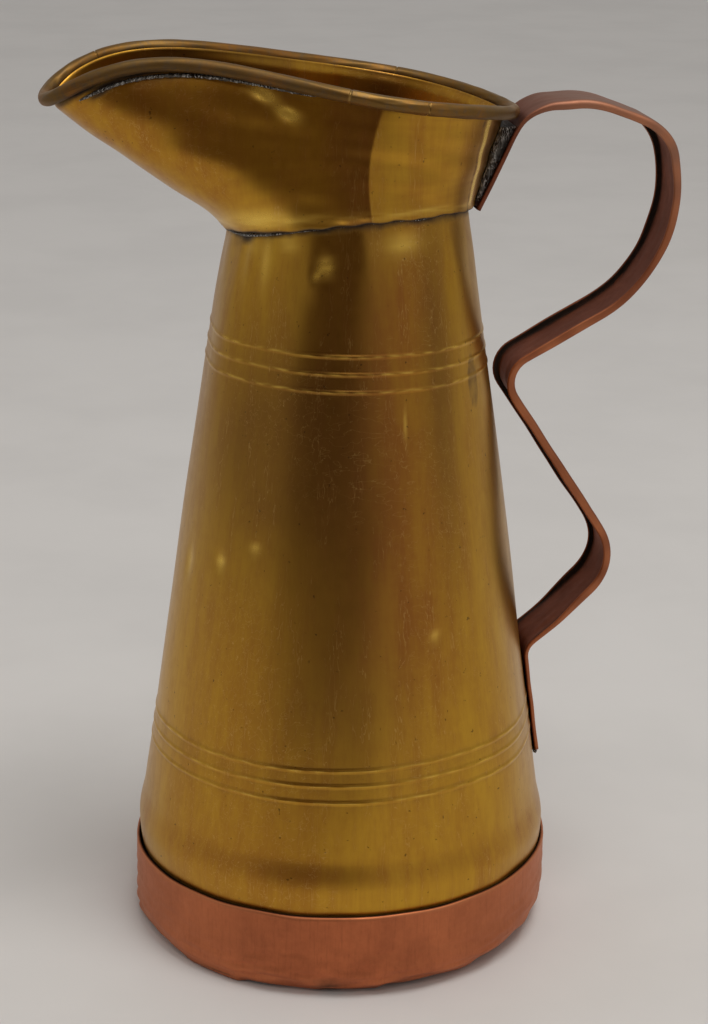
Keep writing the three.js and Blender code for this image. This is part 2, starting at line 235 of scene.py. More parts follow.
def ripple(a, b, count, seed, low=2, high=9):
    """A smooth uneven field of about -1 to 1: the mean of cosines of whole waves in a and any in b."""
    random = np.random.default_rng(seed)
    waves = random.integers(low, high, count)
    slopes = random.uniform(-high, high, count)
    phases = random.uniform(0, TURN, count)
    parts = [np.cos(w * a + s * b + p) for w, s, p in zip(waves, slopes, phases)]
    return sum(parts) / math.sqrt(count)


def unit(v):
    return v / np.linalg.norm(v, axis=-1, keepdims=True)


def polar(radius, angle, z):
    """Points at a radius and an angle about the upright axis, at a height."""
    radius, angle, z = np.broadcast_arrays(radius, angle, z)
    return np.stack([radius * np.cos(angle), radius * np.sin(angle), z], axis=-1)


def angles_round(count, dense_at=(), dense_width=0.03, dense_count=24):
    """Angles once round, evenly spaced, with more of them close to the given ones."""
    even = np.linspace(0, TURN, count, endpoint=False)
    extra = [at + np.linspace(-dense_width, dense_width, dense_count) for at in dense_at]
    return np.unique(np.round(np.concatenate([even, *extra]) % TURN, 6))


def both_faces(outer, inner):
    """One grid with the columns of the outer face, then those of the inner face."""
    return np.concatenate([outer, inner], axis=1)


def tube_points(middle, out, up, radius, angle):
    """Points round a line: its middle, plus the radius along the two directions across it."""
    return (
        middle[:, None]
        + out[:, None] * (radius * np.cos(angle))[..., None]
        + up[:, None] * (radius * np.sin(angle))[..., None]
    )


def grid_faces(rows, columns, wrap_rows, wrap_columns, cap_rows):
    """Four-sided faces of a grid, as grid places. A cap joins each point of an end row to the
    one that lies across the section: the first to the last, the second to the last but one."""
    row = np.arange(rows if wrap_rows else rows - 1)[:, None]
    column = np.arange(columns if wrap_columns else columns - 1)[None, :]
    row, column = np.broadcast_arrays(row, column)
    corners = [(row, column), (row + 1, column), (row + 1, column + 1), (row, column + 1)]
    faces = np.stack([np.stack(c, axis=-1) for c in corners], axis=-2).reshape(-1, 4, 2)
    if cap_rows:
        near = np.arange(columns // 2 - 1)
        far = columns - 1 - near
        ends = [np.stack([near, near + 1, far - 1, far], axis=-1)]
        ends.append(ends[0][:, ::-1])
        for at, end in zip((0, rows - 1), ends):
            faces = np.concatenate([faces, np.stack([np.full_like(end, at), end], axis=-1)])
    return faces


def spacing(points, axis):
    """Length run along one axis of a grid, as the mean over the other, starting from 0."""
    closed = np.concatenate([points, np.take(points, [0], axis=axis)], axis=axis)
    steps = np.linalg.norm(np.diff(closed, axis=axis), axis=-1).mean(axis=1 - axis)
    return np.concatenate([[0], np.cumsum(steps)])


def surface(name, points, wrap_rows=True, wrap_columns=True, cap_rows=False, marks=None, weld=False):
    """A mesh object from a grid of points, rows by columns by 3. Its UV map is the length run
    along the rows and the columns, and each mark becomes a number from 0 to 1 on every point."""
    rows, columns = points.shape[:2]
    faces = grid_faces(rows, columns, wrap_rows, wrap_columns, cap_rows)
    index = (faces[..., 0] % rows) * columns + faces[..., 1] % columns
    flat = points.reshape(-1, 3)
    a, b, c, d = (flat[index[:, i]] for i in range(4))
    volume = np.sum(np.cross(b - a, c - a) * a) + np.sum(np.cross(c - a, d - a) * a)
    if volume < 0:
        index = index[:, ::-1]
        faces = faces[:, ::-1]
    along = spacing(points, 0)[faces[..., 0]]
    across = spacing(points, 1)[faces[..., 1]]
    mesh = bpy.data.meshes.new(name)
    mesh.vertices.add(len(flat))
    mesh.vertices.foreach_set("co", flat.astype(np.float32).ravel())
    mesh.loops.add(index.size)
    mesh.loops.foreach_set("vertex_index", index.astype(np.int32).ravel())
    mesh.polygons.add(len(index))
    mesh.polygons.foreach_set("loop_start", np.arange(0, index.size, 4, dtype=np.int32))
    mesh.update(calc_edges=True)
    uv = mesh.uv_layers.new(name="run")
    uv.uv.foreach_set("vector", np.stack([along, across], axis=-1).astype(np.float32).ravel())
    for mark, values in (marks or {}).items():
        spread = np.clip(np.broadcast_to(values, (rows, columns)), 0, 1).astype(np.float32).ravel()
        mesh.attributes.new(mark, "FLOAT", "POINT").data.foreach_set("value", spread)
    mesh.validate()
    mesh.shade_smooth()
    piece = bpy.data.objects.new(name, mesh)
    bpy.context.scene.collection.objects.link(piece)
    if weld:
        weld_poles(piece)
    return piece


def weld_poles(piece):
    """Joins points that lie on each other, such as a row that has shrunk to a pole."""
    work = bmesh.new()
    work.from_mesh(piece.data)
    bmesh.ops.remove_doubles(work, verts=work.verts, dist=1e-6)
    bmesh.ops.recalc_face_normals(work, faces=work.faces)
    work.to_mesh(piece.data)
    work.free()


def place(piece, material, slot, *nodes):
    """Gives a piece its material and hides the frame nodes that it stands for. The slot is not used."""
    piece.data.materials.append(material)
    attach(piece, "root")
    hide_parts(*nodes)


def neck_line(angle):
    """Height of the collar's lower edge: highest beside the handle, dipping under the spout."""
    return NECK_Z + NECK_LEAN * np.cos(angle) - NECK_DIP * np.cos(angle) ** 2


def band_top(angle):
    """Height of the foot band's upper edge, a little higher on one side."""
    return BAND_TOP_Z + BAND_TOP_LEAN * np.cos(angle - BAND_LEAN_ANGLE)


def body_line(z):
    """Radius of the smooth body. The cone goes down to the flare; there a cubic leads it to
    upright at the widest ring; below that an arc rolls it under, down to the hidden skirt."""
    drop = FLARE_TOP - ROLL_TOP
    k = np.clip((FLARE_TOP - z) / drop, 0, 1)
    end = ROLL_WIDEST - cone_radius(ROLL_TOP)
    slope = CONE_TAPER * drop
    flare = (3 * end + slope) * k**2 - (2 * end + slope) * k**3
    roll = ROLL_WIDEST - np.clip(ROLL_TOP - z, 0, None) ** 2 / (2 * ROLL_BEND)
    return np.where(z > ROLL_TOP, cone_radius(z) + flare, np.maximum(roll, SKIRT_RADIUS))


# Small dents: angle in degrees, then in millimetres the height, depth, and half size across
# and up, and then how strong a highlight is painted on it
BODY_DENTS = [
    (-146.5, 116.3, 0.45, 1.9, 2.0, 0.9),
    (-131.6, 122.3, 0.30, 1.8, 1.4, 0.7),
    (-69.0, 99.4, 0.30, 1.7, 1.8, 0.6),
    (-109.6, 197.9, 0.85, 2.8, 2.6, 1.2),
    (-113.5, 195.5, 0.30, 1.4, 1.2, 0.8),
    (-128.0, 203.0, 0.35, 3.4, 2.2, 0.5),
    (-73.4, 203.5, 0.40, 6.0, 3.0, 0.7),
    (-148.0, 201.0, 0.35, 4.0, 3.0, 0.3),
    (-76.9, 156.9, 0.12, 0.5, 4.5, 0.5),
    (-166.0, 112.0, 0.30, 2.0, 4.0, 0.5),
    (-152.0, 197.0, 0.45, 1.9, 7.0, 0.2),
    (-139.0, 198.0, -0.35, 1.8, 8.0, 0.5),
    (-96.0, 197.0, -0.35, 2.8, 7.0, 0.0),
    (-84.0, 199.0, 0.40, 2.6, 7.0, 0.0),
    (-52.0, 196.0, 0.40, 2.2, 10.0, 0.0),
    (35.0, 128.0, 0.35, 4.0, 3.0, 0.3),
    (62.0, 88.0, 0.25, 2.4, 2.6, 0.5),
    (118.0, 150.0, 0.30, 3.0, 3.4, 0.4),
    (150.0, 101.0, 0.25, 2.6, 2.2, 0.5),
]
RIDGE_TILT_HEIGHTS = (45 * MM, 58 * MM, 66 * MM, 90 * MM, 150 * MM, 168 * MM, 176 * MM, 190 * MM)
RIDGE_TILTS = (0, 0.021, 0.021, 0, 0, -0.0105, -0.0105, 0)


def body_rings(sizes):
    """Heights of the body's rings before they tilt: close on the ridges and the foot roll."""
    step = np.linspace(-1.35, 1.35, 15) * sizes.ridge_width
    ridges = [z + step for z in LOWER_RIDGES + UPPER_RIDGES]
    roll = np.linspace(22 * MM, 42 * MM, 34)
    even = np.arange(BODY_FOOT_Z, NECK_Z, 2.1 * MM)
    return np.unique(np.round(np.concatenate([even, roll, *ridges, [NECK_Z + NECK_OVERLAP]]), 5))


def ridge_height(sizes, z):
    """Sum of the raised lines: each is a cosine arch over its width, sharpened by a power."""
    total = 0
    for ridge in LOWER_RIDGES + UPPER_RIDGES:
        k = np.clip(np.abs(z - ridge) / (1.2 * sizes.ridge_width), 0, 1)
        total = total + (0.5 + 0.5 * np.cos(math.pi * k)) ** 1.4
    return total


def dents(points_angle, points_z):
    """Depth pressed in and the highlight painted on it: a bell for each dent over its half sizes."""
    depth, painted_highlight = 0, 0
    for degrees, *lengths, bright in BODY_DENTS:
        z, deep, across, up = (length * MM for length in lengths)
        run = angle_from(points_angle, degrees * DEGREE) * cone_radius(z)
        bell = hump(run, 0, across) * hump(points_z, z, up)
        depth = depth + deep * bell
        painted_highlight = painted_highlight + bright * bell**1.5
    return depth, painted_highlight


def ridge_valleys(sizes, level, ridges):
    """Sum of narrow bells along both sides of the raised lines."""
    return sum(hump(np.abs(level - r), 1.15 * sizes.ridge_width, 0.35 * MM) for r in ridges)


def body_marks(sizes, angle, level, z, seam_dirt):
    """Dirt, brown tone and smoke on the body's outer face, with painted shade and painted dark
    reflections, as sums of bells and climbs.
    """
    under_neck = neck_line(angle) - z
    patchy = 0.6 + 0.4 * ripple(angle, z / (9 * MM), 8, SEED + 2, 6, 22)
    # Painted shade under the collar's lower edge, with patchy dirt
    grime_and_shade = 0.9 * hump(under_neck, 0, 0.45 * MM) + 0.30 * patchy * hump(under_neck, 0, 5 * MM)
    # Painted shade in the gap below the foot band's top edge
    grime_and_shade = grime_and_shade + 1 - rise(z - band_top(angle), -1 * MM, 0)
    # Painted shade along both sides of the raised lines
    valley = ridge_valleys(sizes, level, LOWER_RIDGES)
    valley = valley + 0.4 * ridge_valleys(sizes, level, UPPER_RIDGES)
    grime_and_shade = grime_and_shade + 0.22 * valley + seam_dirt
    oval = about(angle, -39 * DEGREE, 2.6 / 39) * hump(z, 164 * MM, 8 * MM)
    grime_and_shade = grime_and_shade + 0.42 * rise(oval, 0.34, 0.46)
    drips = about(angle, -156 * DEGREE, 4.5 / 33) * rise(z, 196 * MM, 204 * MM)
    grime_and_shade = grime_and_shade + 0.7 * drips * patchy
    # Brown band facing the camera: painted dark reflection
    tone = 0.95 * about(angle, -82 * DEGREE, 0.34)
    tone = tone * rise(z, 62 * MM, 110 * MM) * (1 - 0.6 * rise(z, 185 * MM, 205 * MM))
    tone = tone * (0.9 + 0.1 * ripple(angle, z / (90 * MM), 7, SEED + 4, 2, 5))
    # Brown band above the flare: painted dark reflection
    tone = tone + 0.30 * hump(z, 36 * MM, 4 * MM)
    smoke_and_shade = about(angle, -137 * DEGREE, 0.50) * hump(z, 148 * MM, 34 * MM)
    smoke_and_shade = smoke_and_shade + 0.85 * about(angle, -60 * DEGREE, 0.15) * hump(z, 168 * MM, 48 * MM)
    # Darker again facing the camera: painted dark reflection
    smoke_and_shade = smoke_and_shade + 0.8 * about(angle, -101 * DEGREE, 0.42) * rise(z, 42 * MM, 84 * MM)
    return grime_and_shade, tone, smoke_and_shade


def build_body(sizes, material):
    """Rings of the body line carried round the axis, tilted a little at the ridges, with the
    lap seam as a step behind the handle; the inner side is the smooth line less the sheet."""
    angle = angles_round(BODY_POINTS, dense_at=(SEAM_ANGLE,))[:, None]
    level = body_rings(sizes)[None, :]
    tilt = np.interp(level, RIDGE_TILT_HEIGHTS, RIDGE_TILTS)
    lift = (neck_line(angle) - NECK_Z) * rise(level, 180 * MM, NECK_Z + NECK_OVERLAP)
    z = level + tilt * body_line(level) * np.cos(angle) + lift
    ridge = ridge_height(sizes, level)
    seam_run = (angle - SEAM_ANGLE) * body_line(level)
    seam = rise(seam_run, 0, 0.35 * MM) * (1 - rise(seam_run, 0.4 * MM, 15 * MM))
    free = rise(level, 26 * MM, 60 * MM)
    uneven = ripple(angle, z / (150 * MM), 7, SEED) * free
    uneven = uneven + 0.35 * ripple(angle, z / (80 * MM), 9, SEED + 1, 5, 14)
    near_neck = rise(z, 182 * MM, 203 * MM)
    uneven = uneven + 1.1 * near_neck * ripple(angle, z / (70 * MM), 8, SEED + 8, 9, 20)
    smooth = body_line(level) + sizes.wobble * uneven
    pressed, painted_highlight = dents(angle, z)
    outer = smooth + sizes.ridge_rise * ridge + SEAM_STEP * seam * free - pressed
    inner_columns = np.linspace(level.shape[1] - 1, 0, 70).round().astype(int)
    inner = (smooth - pressed - sizes.sheet)[:, inner_columns]
    points = both_faces(polar(outer, angle, z), polar(inner, angle, z[:, inner_columns]))

    seam_dirt = 0.75 * hump(seam_run, -0.1 * MM, 0.35 * MM) * free
    grime_and_shade, tone, smoke_and_shade = body_marks(sizes, angle, level, z, seam_dirt)
    rubbed = np.clip(0.35 + 0.55 * ripple(angle, level * 90, 14, SEED + 3, 7, 60), 0, 1)
    # Rubbed ridge crests, plus the highlights painted on the dents
    wear_and_highlight = 0.55 * ridge**3 * rubbed + painted_highlight
    # Inner face: painted shade and an even brown tone
    inside = np.full((len(angle), len(inner_columns)), 0.35)
    marks = {
        "grime_and_shade": both_faces(grime_and_shade, inside),
        "wear_and_highlight": both_faces(wear_and_highlight, inside * 0),
        "tone": both_faces(tone, inside),
        "smoke_and_shade": both_faces(smoke_and_shade, inside * 0),
    }
    place(surface("body_cone", points, marks=marks), material, "body_brass", "body_shell")


def mouth_frame(t):
    """Middle line of the rim at t, with the level direction outwards and the one across both.
    Its x follows minus the cosine of t, and its width and height are powers of that cosine."""
    def middle_at(t):
        u = -np.cos(t)
        return np.stack(
            [
                MOUTH_MIDDLE_X + MOUTH_HALF_LENGTH * u,
                MOUTH_HALF_LENGTH * polynomial(MOUTH_WIDTH, u) * np.sin(t),
                polynomial(MOUTH_HEIGHT, u),
            ],
            axis=-1,
        )

    step = 1e-4
    middle = middle_at(t)
    along = unit(middle_at(t + step) - middle_at(t - step))
    level = np.stack([-along[..., 1], along[..., 0], np.zeros_like(t)], axis=-1)
    out = unit(level)
    across = unit(np.cross(along, out))
    across = across * np.sign(across[..., 2:3])
    return middle, out, across


# Dents in the collar: place along the mouth, share of the height, depth, and half sizes as
# parts of both
COLLAR_DENTS = [
    (-1.38, 0.86, 0.45 * MM, 0.05, 0.05),
    (-1.44, 0.75, 0.40 * MM, 0.05, 0.05),
    (-1.25, 0.12, 0.4 * MM, 0.16, 0.10),
    (-2.10, 0.10, 0.4 * MM, 0.12, 0.08),
    (1.20, 0.55, 0.5 * MM, 0.12, 0.14),
    (2.30, 0.30, 0.4 * MM, 0.14, 0.10),
]


def collar_wall(sizes, t, level, inset):
    """Straight lines from the neck line to just under the rim, bellied out a little between,
    with a soft fold where each cheek meets the round back."""
    angle = math.pi - t
    neck_z = neck_line(angle)
    lip = sizes.sheet + NECK_GAP - inset
    foot = polar(cone_radius(neck_z) + lip, angle, neck_z)
    inset = np.broadcast_to(inset, t.shape)
    middle, out, _ = mouth_frame(t)
    top = middle - out * (sizes.bead_radius + RIM_GAP + inset)[..., None]
    wall = foot + (top - foot) * level[..., None]
    side = np.abs(angle_from(t, 0))
    crease = COLLAR_CREASE[0] + COLLAR_CREASE[1] * level
    fold = np.exp(-np.abs(side - crease) / 0.09) * np.sin(math.pi * level) ** 0.7
    belly = np.sin(math.pi * level) * (0.9 * hump(side, 0.8, 0.8) - 0.3 * hump(side, 3.14, 1.2))
    keel = 2.4 * hump(level, 0.84, 0.30) - 1.7 * hump(level, 0.13, 0.12)
    keel = keel * hump(side, 0, 0.55) * (1 - 0.8 * rise(level, 0.93, 1))
    push = 0.9 * MM * fold + 1.0 * MM * belly + MM * keel
    push = push + 0.35 * MM * hump(level, 0, 0.035)
    push = push + 0.16 * MM * ripple(t, level * 3, 8, SEED + 5, 2, 9) * np.sin(math.pi * level)
    for at, high, deep, wide, tall in COLLAR_DENTS:
        push = push - deep * about(t, at, wide) * hump(level, high, tall)
    return wall + out * push[..., None]


def collar_marks(t, level):
    """Dirt, wear, tone and smoke on the collar's outer face with painted shade, highlights and
    reflections, then dirt and painted shade inside.
    """
    patchy = 0.5 + 0.5 * ripple(t, level * 9, 8, SEED + 7, 5, 20)
    far = angle_from(t, 0)
    side = np.abs(far)
    grime_and_shade = 0.85 * hump(level, 0, 0.012) + 0.20 * patchy * hump(level, 0, 0.12)
    # Painted shade under the rolled rim, with patchy dirt
    grime_and_shade = grime_and_shade + 0.75 * hump(level, 1, 0.05) + 0.25 * patchy * hump(level, 1, 0.14)
    smear = hump(level, 0.96, 0.06) * rise(-far, 0.35, 0.6) * (1 - rise(-far, 1.45, 1.65))
    grime_and_shade = grime_and_shade + 0.8 * smear * patchy
    # A pale upright streak on the round back, used on the wear line below: painted reflection
    painted_pale_streak = rise(angle_from(t, -2.68), 0, 0.015) * (1 - rise(angle_from(t, -2.615), 0, 0.01))
    grime_and_shade = grime_and_shade + 0.5 * about(t, -2.59, 0.014) * (0.5 + 0.5 * patchy)
    wear_and_highlight = 0.6 * hump(level, 0.06, 0.03) * patchy + 1.2 * painted_pale_streak * rise(level, 0.02, 0.1)
    # Painted highlights on the two dimples by the spout
    for at, high, _, wide, tall in COLLAR_DENTS[:2]:
        wear_and_highlight = wear_and_highlight + 1.6 * about(t, at, wide) * hump(level, high, tall)
    wear_and_highlight = wear_and_highlight + 0.7 * hump(level, 0.09, 0.05) * about(t, -0.75, 0.35)
    crease = COLLAR_CREASE[0] + COLLAR_CREASE[1] * level
    # Browner and darker just before each crease: painted dark reflection
    brown = rise(side, crease - 0.30, crease - 0.10) * (1 - rise(side, crease - 0.01, crease + 0.01))
    tone = 0.15 + 0.15 * patchy + 0.5 * brown
    smoke_and_shade = 0.04 * (1 - rise(side, crease - 0.02, crease + 0.02)) * (0.8 + 0.2 * patchy)
    smoke_and_shade = smoke_and_shade + 0.40 * brown
    inner_dirt_and_shade = 0.06 + 0.10 * patchy + 0.15 * hump(level, 1, 0.04)
    # Parts of the far inner wall darkened: painted shade
    far_wall_shade = rise(far, 0.8, 1.1) * (1 - rise(far, 1.60, 1.70)) + hump(far, 2.12, 0.13)
    return grime_and_shade, wear_and_highlight, tone, smoke_and_shade, inner_dirt_and_shade, 0.75 * far_wall_shade * (0.8 + 0.2 * patchy)


def build_collar(sizes, material):
    """The collar wall from foot to rim, outside and back down inside."""
    fold = COLLAR_CREASE[0] + COLLAR_CREASE[1] / 2
    folds = (fold, -fold)
    t = angles_round(COLLAR_POINTS, dense_at=folds, dense_width=0.22, dense_count=60)[:, None]
    up = np.concatenate([np.linspace(0, 0.1, 8)[:-1], np.linspace(0.1, 1, 52)])[None, :]
    t_grid, level = np.broadcast_arrays(t, up)
    ragged = 0.25 * MM * ripple(t_grid, level * 0, 9, SEED + 6, 7, 31) * (1 - rise(level, 0, 0.06))
    outer = collar_wall(sizes, t_grid, level, 0)
    inner = collar_wall(sizes, t_grid, level, sizes.sheet * (1 - 0.75 * rise(level, 0.9, 1)))
    outer[..., 2] += ragged
    inner[..., 2] += ragged
    grime_and_shade, wear_and_highlight, tone, smoke_and_shade, inner_dirt_and_shade, inner_shade = collar_marks(t_grid, level)
    marks = {
        "grime_and_shade": both_faces(grime_and_shade, inner_dirt_and_shade[:, ::-1]),
        "wear_and_highlight": both_faces(wear_and_highlight, wear_and_highlight * 0),
        "tone": both_faces(tone, 0.3 * inner_dirt_and_shade),
        "smoke_and_shade": both_faces(smoke_and_shade, inner_shade),
    }
    piece = surface("spout_collar", both_faces(outer, inner[:, ::-1]), marks=marks)
    place(piece, material, "body_brass", "collar_spout")


BEAD_SLOT = 0.3  # half of the open angle
BEAD_SLOT_TURN = 0.8  # of the opening, from inwards to downwards
BEAD_STEPS = 34
BEAD_NICKS = (-1.78, -2.12, 0.7, 2.2)  # places along the mouth where the rim has a cut mark


def build_rim(sizes, bead_material, wire_material):
    """The rolled rim is an open ring section, thick as its sheet, carried round the mouth
    line; the wire is a round section on the same line."""
    nicks = [at % TURN for at in BEAD_NICKS]
    t = angles_round(RIM_POINTS, dense_at=nicks, dense_width=0.012, dense_count=14)
    middle, out, across = mouth_frame(t)
    turn = np.linspace(math.pi + BEAD_SLOT, 3 * math.pi - BEAD_SLOT, BEAD_STEPS) + BEAD_SLOT_TURN
    angle = np.concatenate([turn, turn[::-1]])[None, :]
    wall = np.repeat([0.0, 1.0], BEAD_STEPS)[None, :]
    t_grid = t[:, None]
    outer_side = 1 - wall
    lumps = 0.05 * MM * ripple(t_grid, angle * 0.2, 10, SEED + 9, 6, 40)
    nick = sum(about(t_grid, at, 0.0035) for at in BEAD_NICKS)
    swell = sizes.bead_radius + outer_side * (lumps - 0.22 * MM * nick)
    lip = rise(np.abs(angle - TURN - BEAD_SLOT_TURN), 2.3, math.pi - BEAD_SLOT)
    radius = swell - sizes.bead_wall * wall * (1 - 0.35 * lip)
    under = about(angle, -1.9, 0.8)
    top = about(angle, 1.2, 0.7)
    patchy = 0.5 + 0.5 * ripple(t_grid, angle * 0.5, 9, SEED + 10, 5, 36)
    from_tip = -angle_from(t_grid, 0)
    near = rise(from_tip, 0.1, 0.5) * (1 - rise(from_tip, 1.5, 1.9))
    # Dirt underneath, and painted shade on the roll's inner face
    grime_and_shade = 0.55 * under * patchy + 0.8 * wall
    grime_and_shade = grime_and_shade + near * outer_side * (0.25 + 0.25 * patchy + 0.4 * under)
    wear_and_highlight = (top * (0.25 + 0.4 * patchy) + 1.6 * nick) * outer_side
    points = tube_points(middle, out, across, radius, angle)
    bead = surface("rim_tube", points, marks={"grime_and_shade": grime_and_shade, "wear_and_highlight": wear_and_highlight})
    place(bead, bead_material, "rim_brass", "rim_bead")

    ring = np.linspace(0, TURN, 16, endpoint=False)[None, :]
    radius = sizes.wire_radius * (1 + 0.03 * ripple(t_grid, ring, 6, SEED + 11, 9, 40))
    wire = surface("rim_core_wire", tube_points(middle, out, across, radius, ring))
    place(wire, wire_material, "wire", "rim_wire")


# The foot band's ground line is beaten into flats. Each corner of them has its angle in
# degrees, and in millimetres its radius and how far it stands off the ground.
BAND_CORNERS = np.array([
    (-181, 57.6, 0), (-170, 54.9, 0.1), (-158, 53.5, 0.1), (-146, 56.2, 0),
    (-129, 56.6, 0), (-126, 55.0, 0.4), (-116, 54.0, 0.3), (-107, 53.3, 0),
    (-99, 52.0, 0), (-89, 52.3, 0), (-86, 51.5, 0.8), (-66, 51.3, 0.4),
    (-59, 50.9, 0.2), (-56, 52.0, 1.3), (-49, 51.0, 1.2), (-40, 50.7, 0.9),
    (-26, 51.4, 0.4), (-13, 53.5, 0), (2, 56.2, 0), (34, 53.0, 0.3),
    (60, 50.8, 0.5), (85, 55.2, 0), (110, 51.8, 0.3), (135, 55.3, 0),
    (160, 53.0, 0.2),
])


def band_ground(angle):
    """Radius and lift of the ground line: straight steps between the corners of its flats."""
    turns, *lengths = BAND_CORNERS.T
    radius, lift = (
        np.interp(angle_from(angle, 0), turns * DEGREE, length * MM, period=TURN)
        for length in lengths
    )
    return radius + 0.2 * MM * ripple(angle, 0, 8, SEED + 12, 7, 29), lift


def build_foot(sizes, copper, brass):
    """The band's section is an upright wall, a rounded corner that waves in and out, and a
    flange turned under; the pan is a lathe line from the axis out and up the inner wall."""
    angle = angles_round(BAND_POINTS)[:, None]
    contact, lift = band_ground(angle)
    top = band_top(angle) + 0.12 * MM * ripple(angle, 0, 8, SEED + 13, 6, 30)
    arc = np.linspace(0, math.pi / 2, 16)[None, :]
    corner = BAND_CORNER_Z + BAND_CORNER_RISE * about(angle, -18 * DEGREE, 0.5)

    def side(inset):
        """The wall from its top edge to the flange's inner edge, at a depth into the sheet."""
        wall_z = top - (top - corner) * np.linspace(0.03, 1, 14)[None, :]
        wall_r = np.broadcast_to(BAND_RADIUS - inset, wall_z.shape)
        corner_r = contact + (BAND_RADIUS - inset - contact) * np.cos(arc)
        corner_z = corner - (corner - inset - lift) * np.sin(arc)
        share = np.linspace(0, 1, FLANGE_STEPS)[None, 1:]
        flange_r = contact + (FLANGE_INNER_RADIUS - contact) * share
        flange_z = inset + lift * (1 - share) ** 2
        return [
            np.concatenate(parts, axis=1)
            for parts in ((wall_r, corner_r[:, 1:], flange_r), (wall_z, corner_z[:, 1:], flange_z))
        ]

    outer_r, outer_z = side(0)
    inner_r, inner_z = side(sizes.band_sheet)
    r = both_faces(outer_r, inner_r[:, ::-1])
    z = both_faces(outer_z, inner_z[:, ::-1])
    beaten = ripple(angle, z / (9 * MM), 12, SEED + 14, 5, 26)
    low = 1 - rise(z, 6 * MM, 20 * MM)
    r = r + (0.06 * MM + 0.22 * MM * low) * beaten * rise(z, 0, 3 * MM)
    on_outside = np.repeat([1.0, 0.0], outer_r.shape[1])[None, :]
    edge = hump(z, top, 0.7 * MM)
    patchy = 0.5 + 0.5 * ripple(angle, z / (7 * MM), 10, SEED + 15, 5, 30)
    # Painted shade on the inner face; the outside darker towards the ground
    grime_and_shade = (1 - on_outside) * 0.85 + on_outside * 0.6 * patchy * (1 - rise(z, 0.5 * MM, 4 * MM))
    stain = about(angle, -102 * DEGREE, 0.10) * hump(z, 3 * MM, 4 * MM)
    grime_and_shade = grime_and_shade + on_outside * 0.6 * stain * (0.4 + 0.6 * patchy)
    # Lighter towards the flanks seen from the camera: painted highlight
    sides = 1 - about(angle, -100 * DEGREE, 0.65)
    wear_and_highlight = on_outside * (0.9 * edge + 0.35 * patchy * hump(z, 3.5 * MM, 2.5 * MM) + 0.35 * sides)
    band = surface("foot_ring", polar(r, angle, z), marks={"grime_and_shade": grime_and_shade, "wear_and_highlight": wear_and_highlight})
    place(band, copper, "foot_copper", "foot_band")

    quarter = np.linspace(0, math.pi / 2, 12)

    def dish(inset):
        """Panel, step, margin and wall of the pan at a depth into the sheet."""
        reach = PAN_WALL_RADIUS - inset - PAN_MARGIN_RADIUS
        drop = PAN_CORNER_Z - PAN_MARGIN_Z - inset
        panel = np.linspace(0, PAN_PANEL_RADIUS - 0.6 * inset, 22)
        step = PAN_PANEL_RADIUS + np.linspace(*PAN_STEP, 5) - 0.6 * inset
        r = np.concatenate([panel, step, PAN_MARGIN_RADIUS + reach * np.sin(quarter)])
        step_z = inset + PAN_MARGIN_Z * rise(np.linspace(0, 1, 5), -0.15, 1)
        corner_z = PAN_CORNER_Z - drop * np.cos(quarter)
        z = np.concatenate([np.full(22, inset), step_z, corner_z])
        return np.append(r, PAN_WALL_RADIUS - inset), np.append(z, PAN_RIM_Z)

    outer, inner = dish(0), dish(sizes.sheet)
    line_r, line_z = (np.concatenate([o, i[::-1]])[None, :] for o, i in zip(outer, inner))
    turn = angles_round(PAN_POINTS)[:, None]
    planished = 0.10 * MM * ripple(turn, line_r / (12 * MM), 14, SEED + 16, 3, 15)
    planished = planished * rise(line_r, 0, 12 * MM) * (line_z < PAN_RIM_Z - MM)
    z = line_z + np.clip(planished, 0, None) * (1 - rise(line_r, 44 * MM, 50 * MM))
    grime_and_shade = 0.35 + 0.5 * hump(line_r, PAN_PANEL_RADIUS + 2 * MM, 2 * MM) + 0 * turn
    pan = surface(
        "base_dish", polar(line_r, turn, z), wrap_columns=False, weld=True,
        marks={"grime_and_shade": grime_and_shade, "wear_and_highlight": 0 * z},
    )
    place(pan, brass, "base_brass", "base_pan")


def strap_line(step):
    """Points along the strap's outer face and their directions, seen from the side: straight
    runs between the corners, each corner rounded by an arc that touches both runs."""
    points = []
    directions = []

    def straight(start, end):
        count = max(2, int(np.linalg.norm(end - start) / step))
        share = np.linspace(0, 1, count, endpoint=False)[:, None]
        points.append(start + (end - start) * share)
        directions.append(np.repeat(unit(end - start)[None, :], count, axis=0))

    corners = np.array([corner[:2] for corner in STRAP_CORNERS])
    start = corners[0]
    for i, (_, _, radius) in enumerate(STRAP_CORNERS[1:-1], start=1):
        back = unit(corners[i - 1] - corners[i])
        ahead = unit(corners[i + 1] - corners[i])
        half = math.acos(np.clip(back @ ahead, -1, 1)) / 2
        first = corners[i] + back * radius / math.tan(half)
        centre = corners[i] + unit(back + ahead) * radius / math.sin(half)
        swing = math.pi - 2 * half
        side = math.copysign(1, back[0] * ahead[1] - back[1] * ahead[0])
        straight(start, first)
        turn = -side * np.linspace(0, swing, max(6, int(radius * swing / step)), endpoint=False)
        arm = first - centre
        cos, sin = np.cos(turn), np.sin(turn)
        spoke = np.stack([arm[0] * cos - arm[1] * sin, arm[0] * sin + arm[1] * cos], axis=-1)
        points.append(centre + spoke)
        ahead_of = np.stack([-spoke[:, 1], spoke[:, 0]], axis=-1) * -side
        directions.append(unit(ahead_of))
        start = corners[i] + ahead * radius / math.tan(half)
    straight(start, corners[-1])
    points.append(corners[-1:])
    directions.append(directions[-1][-1:])
    return np.concatenate(points), np.concatenate(directions)


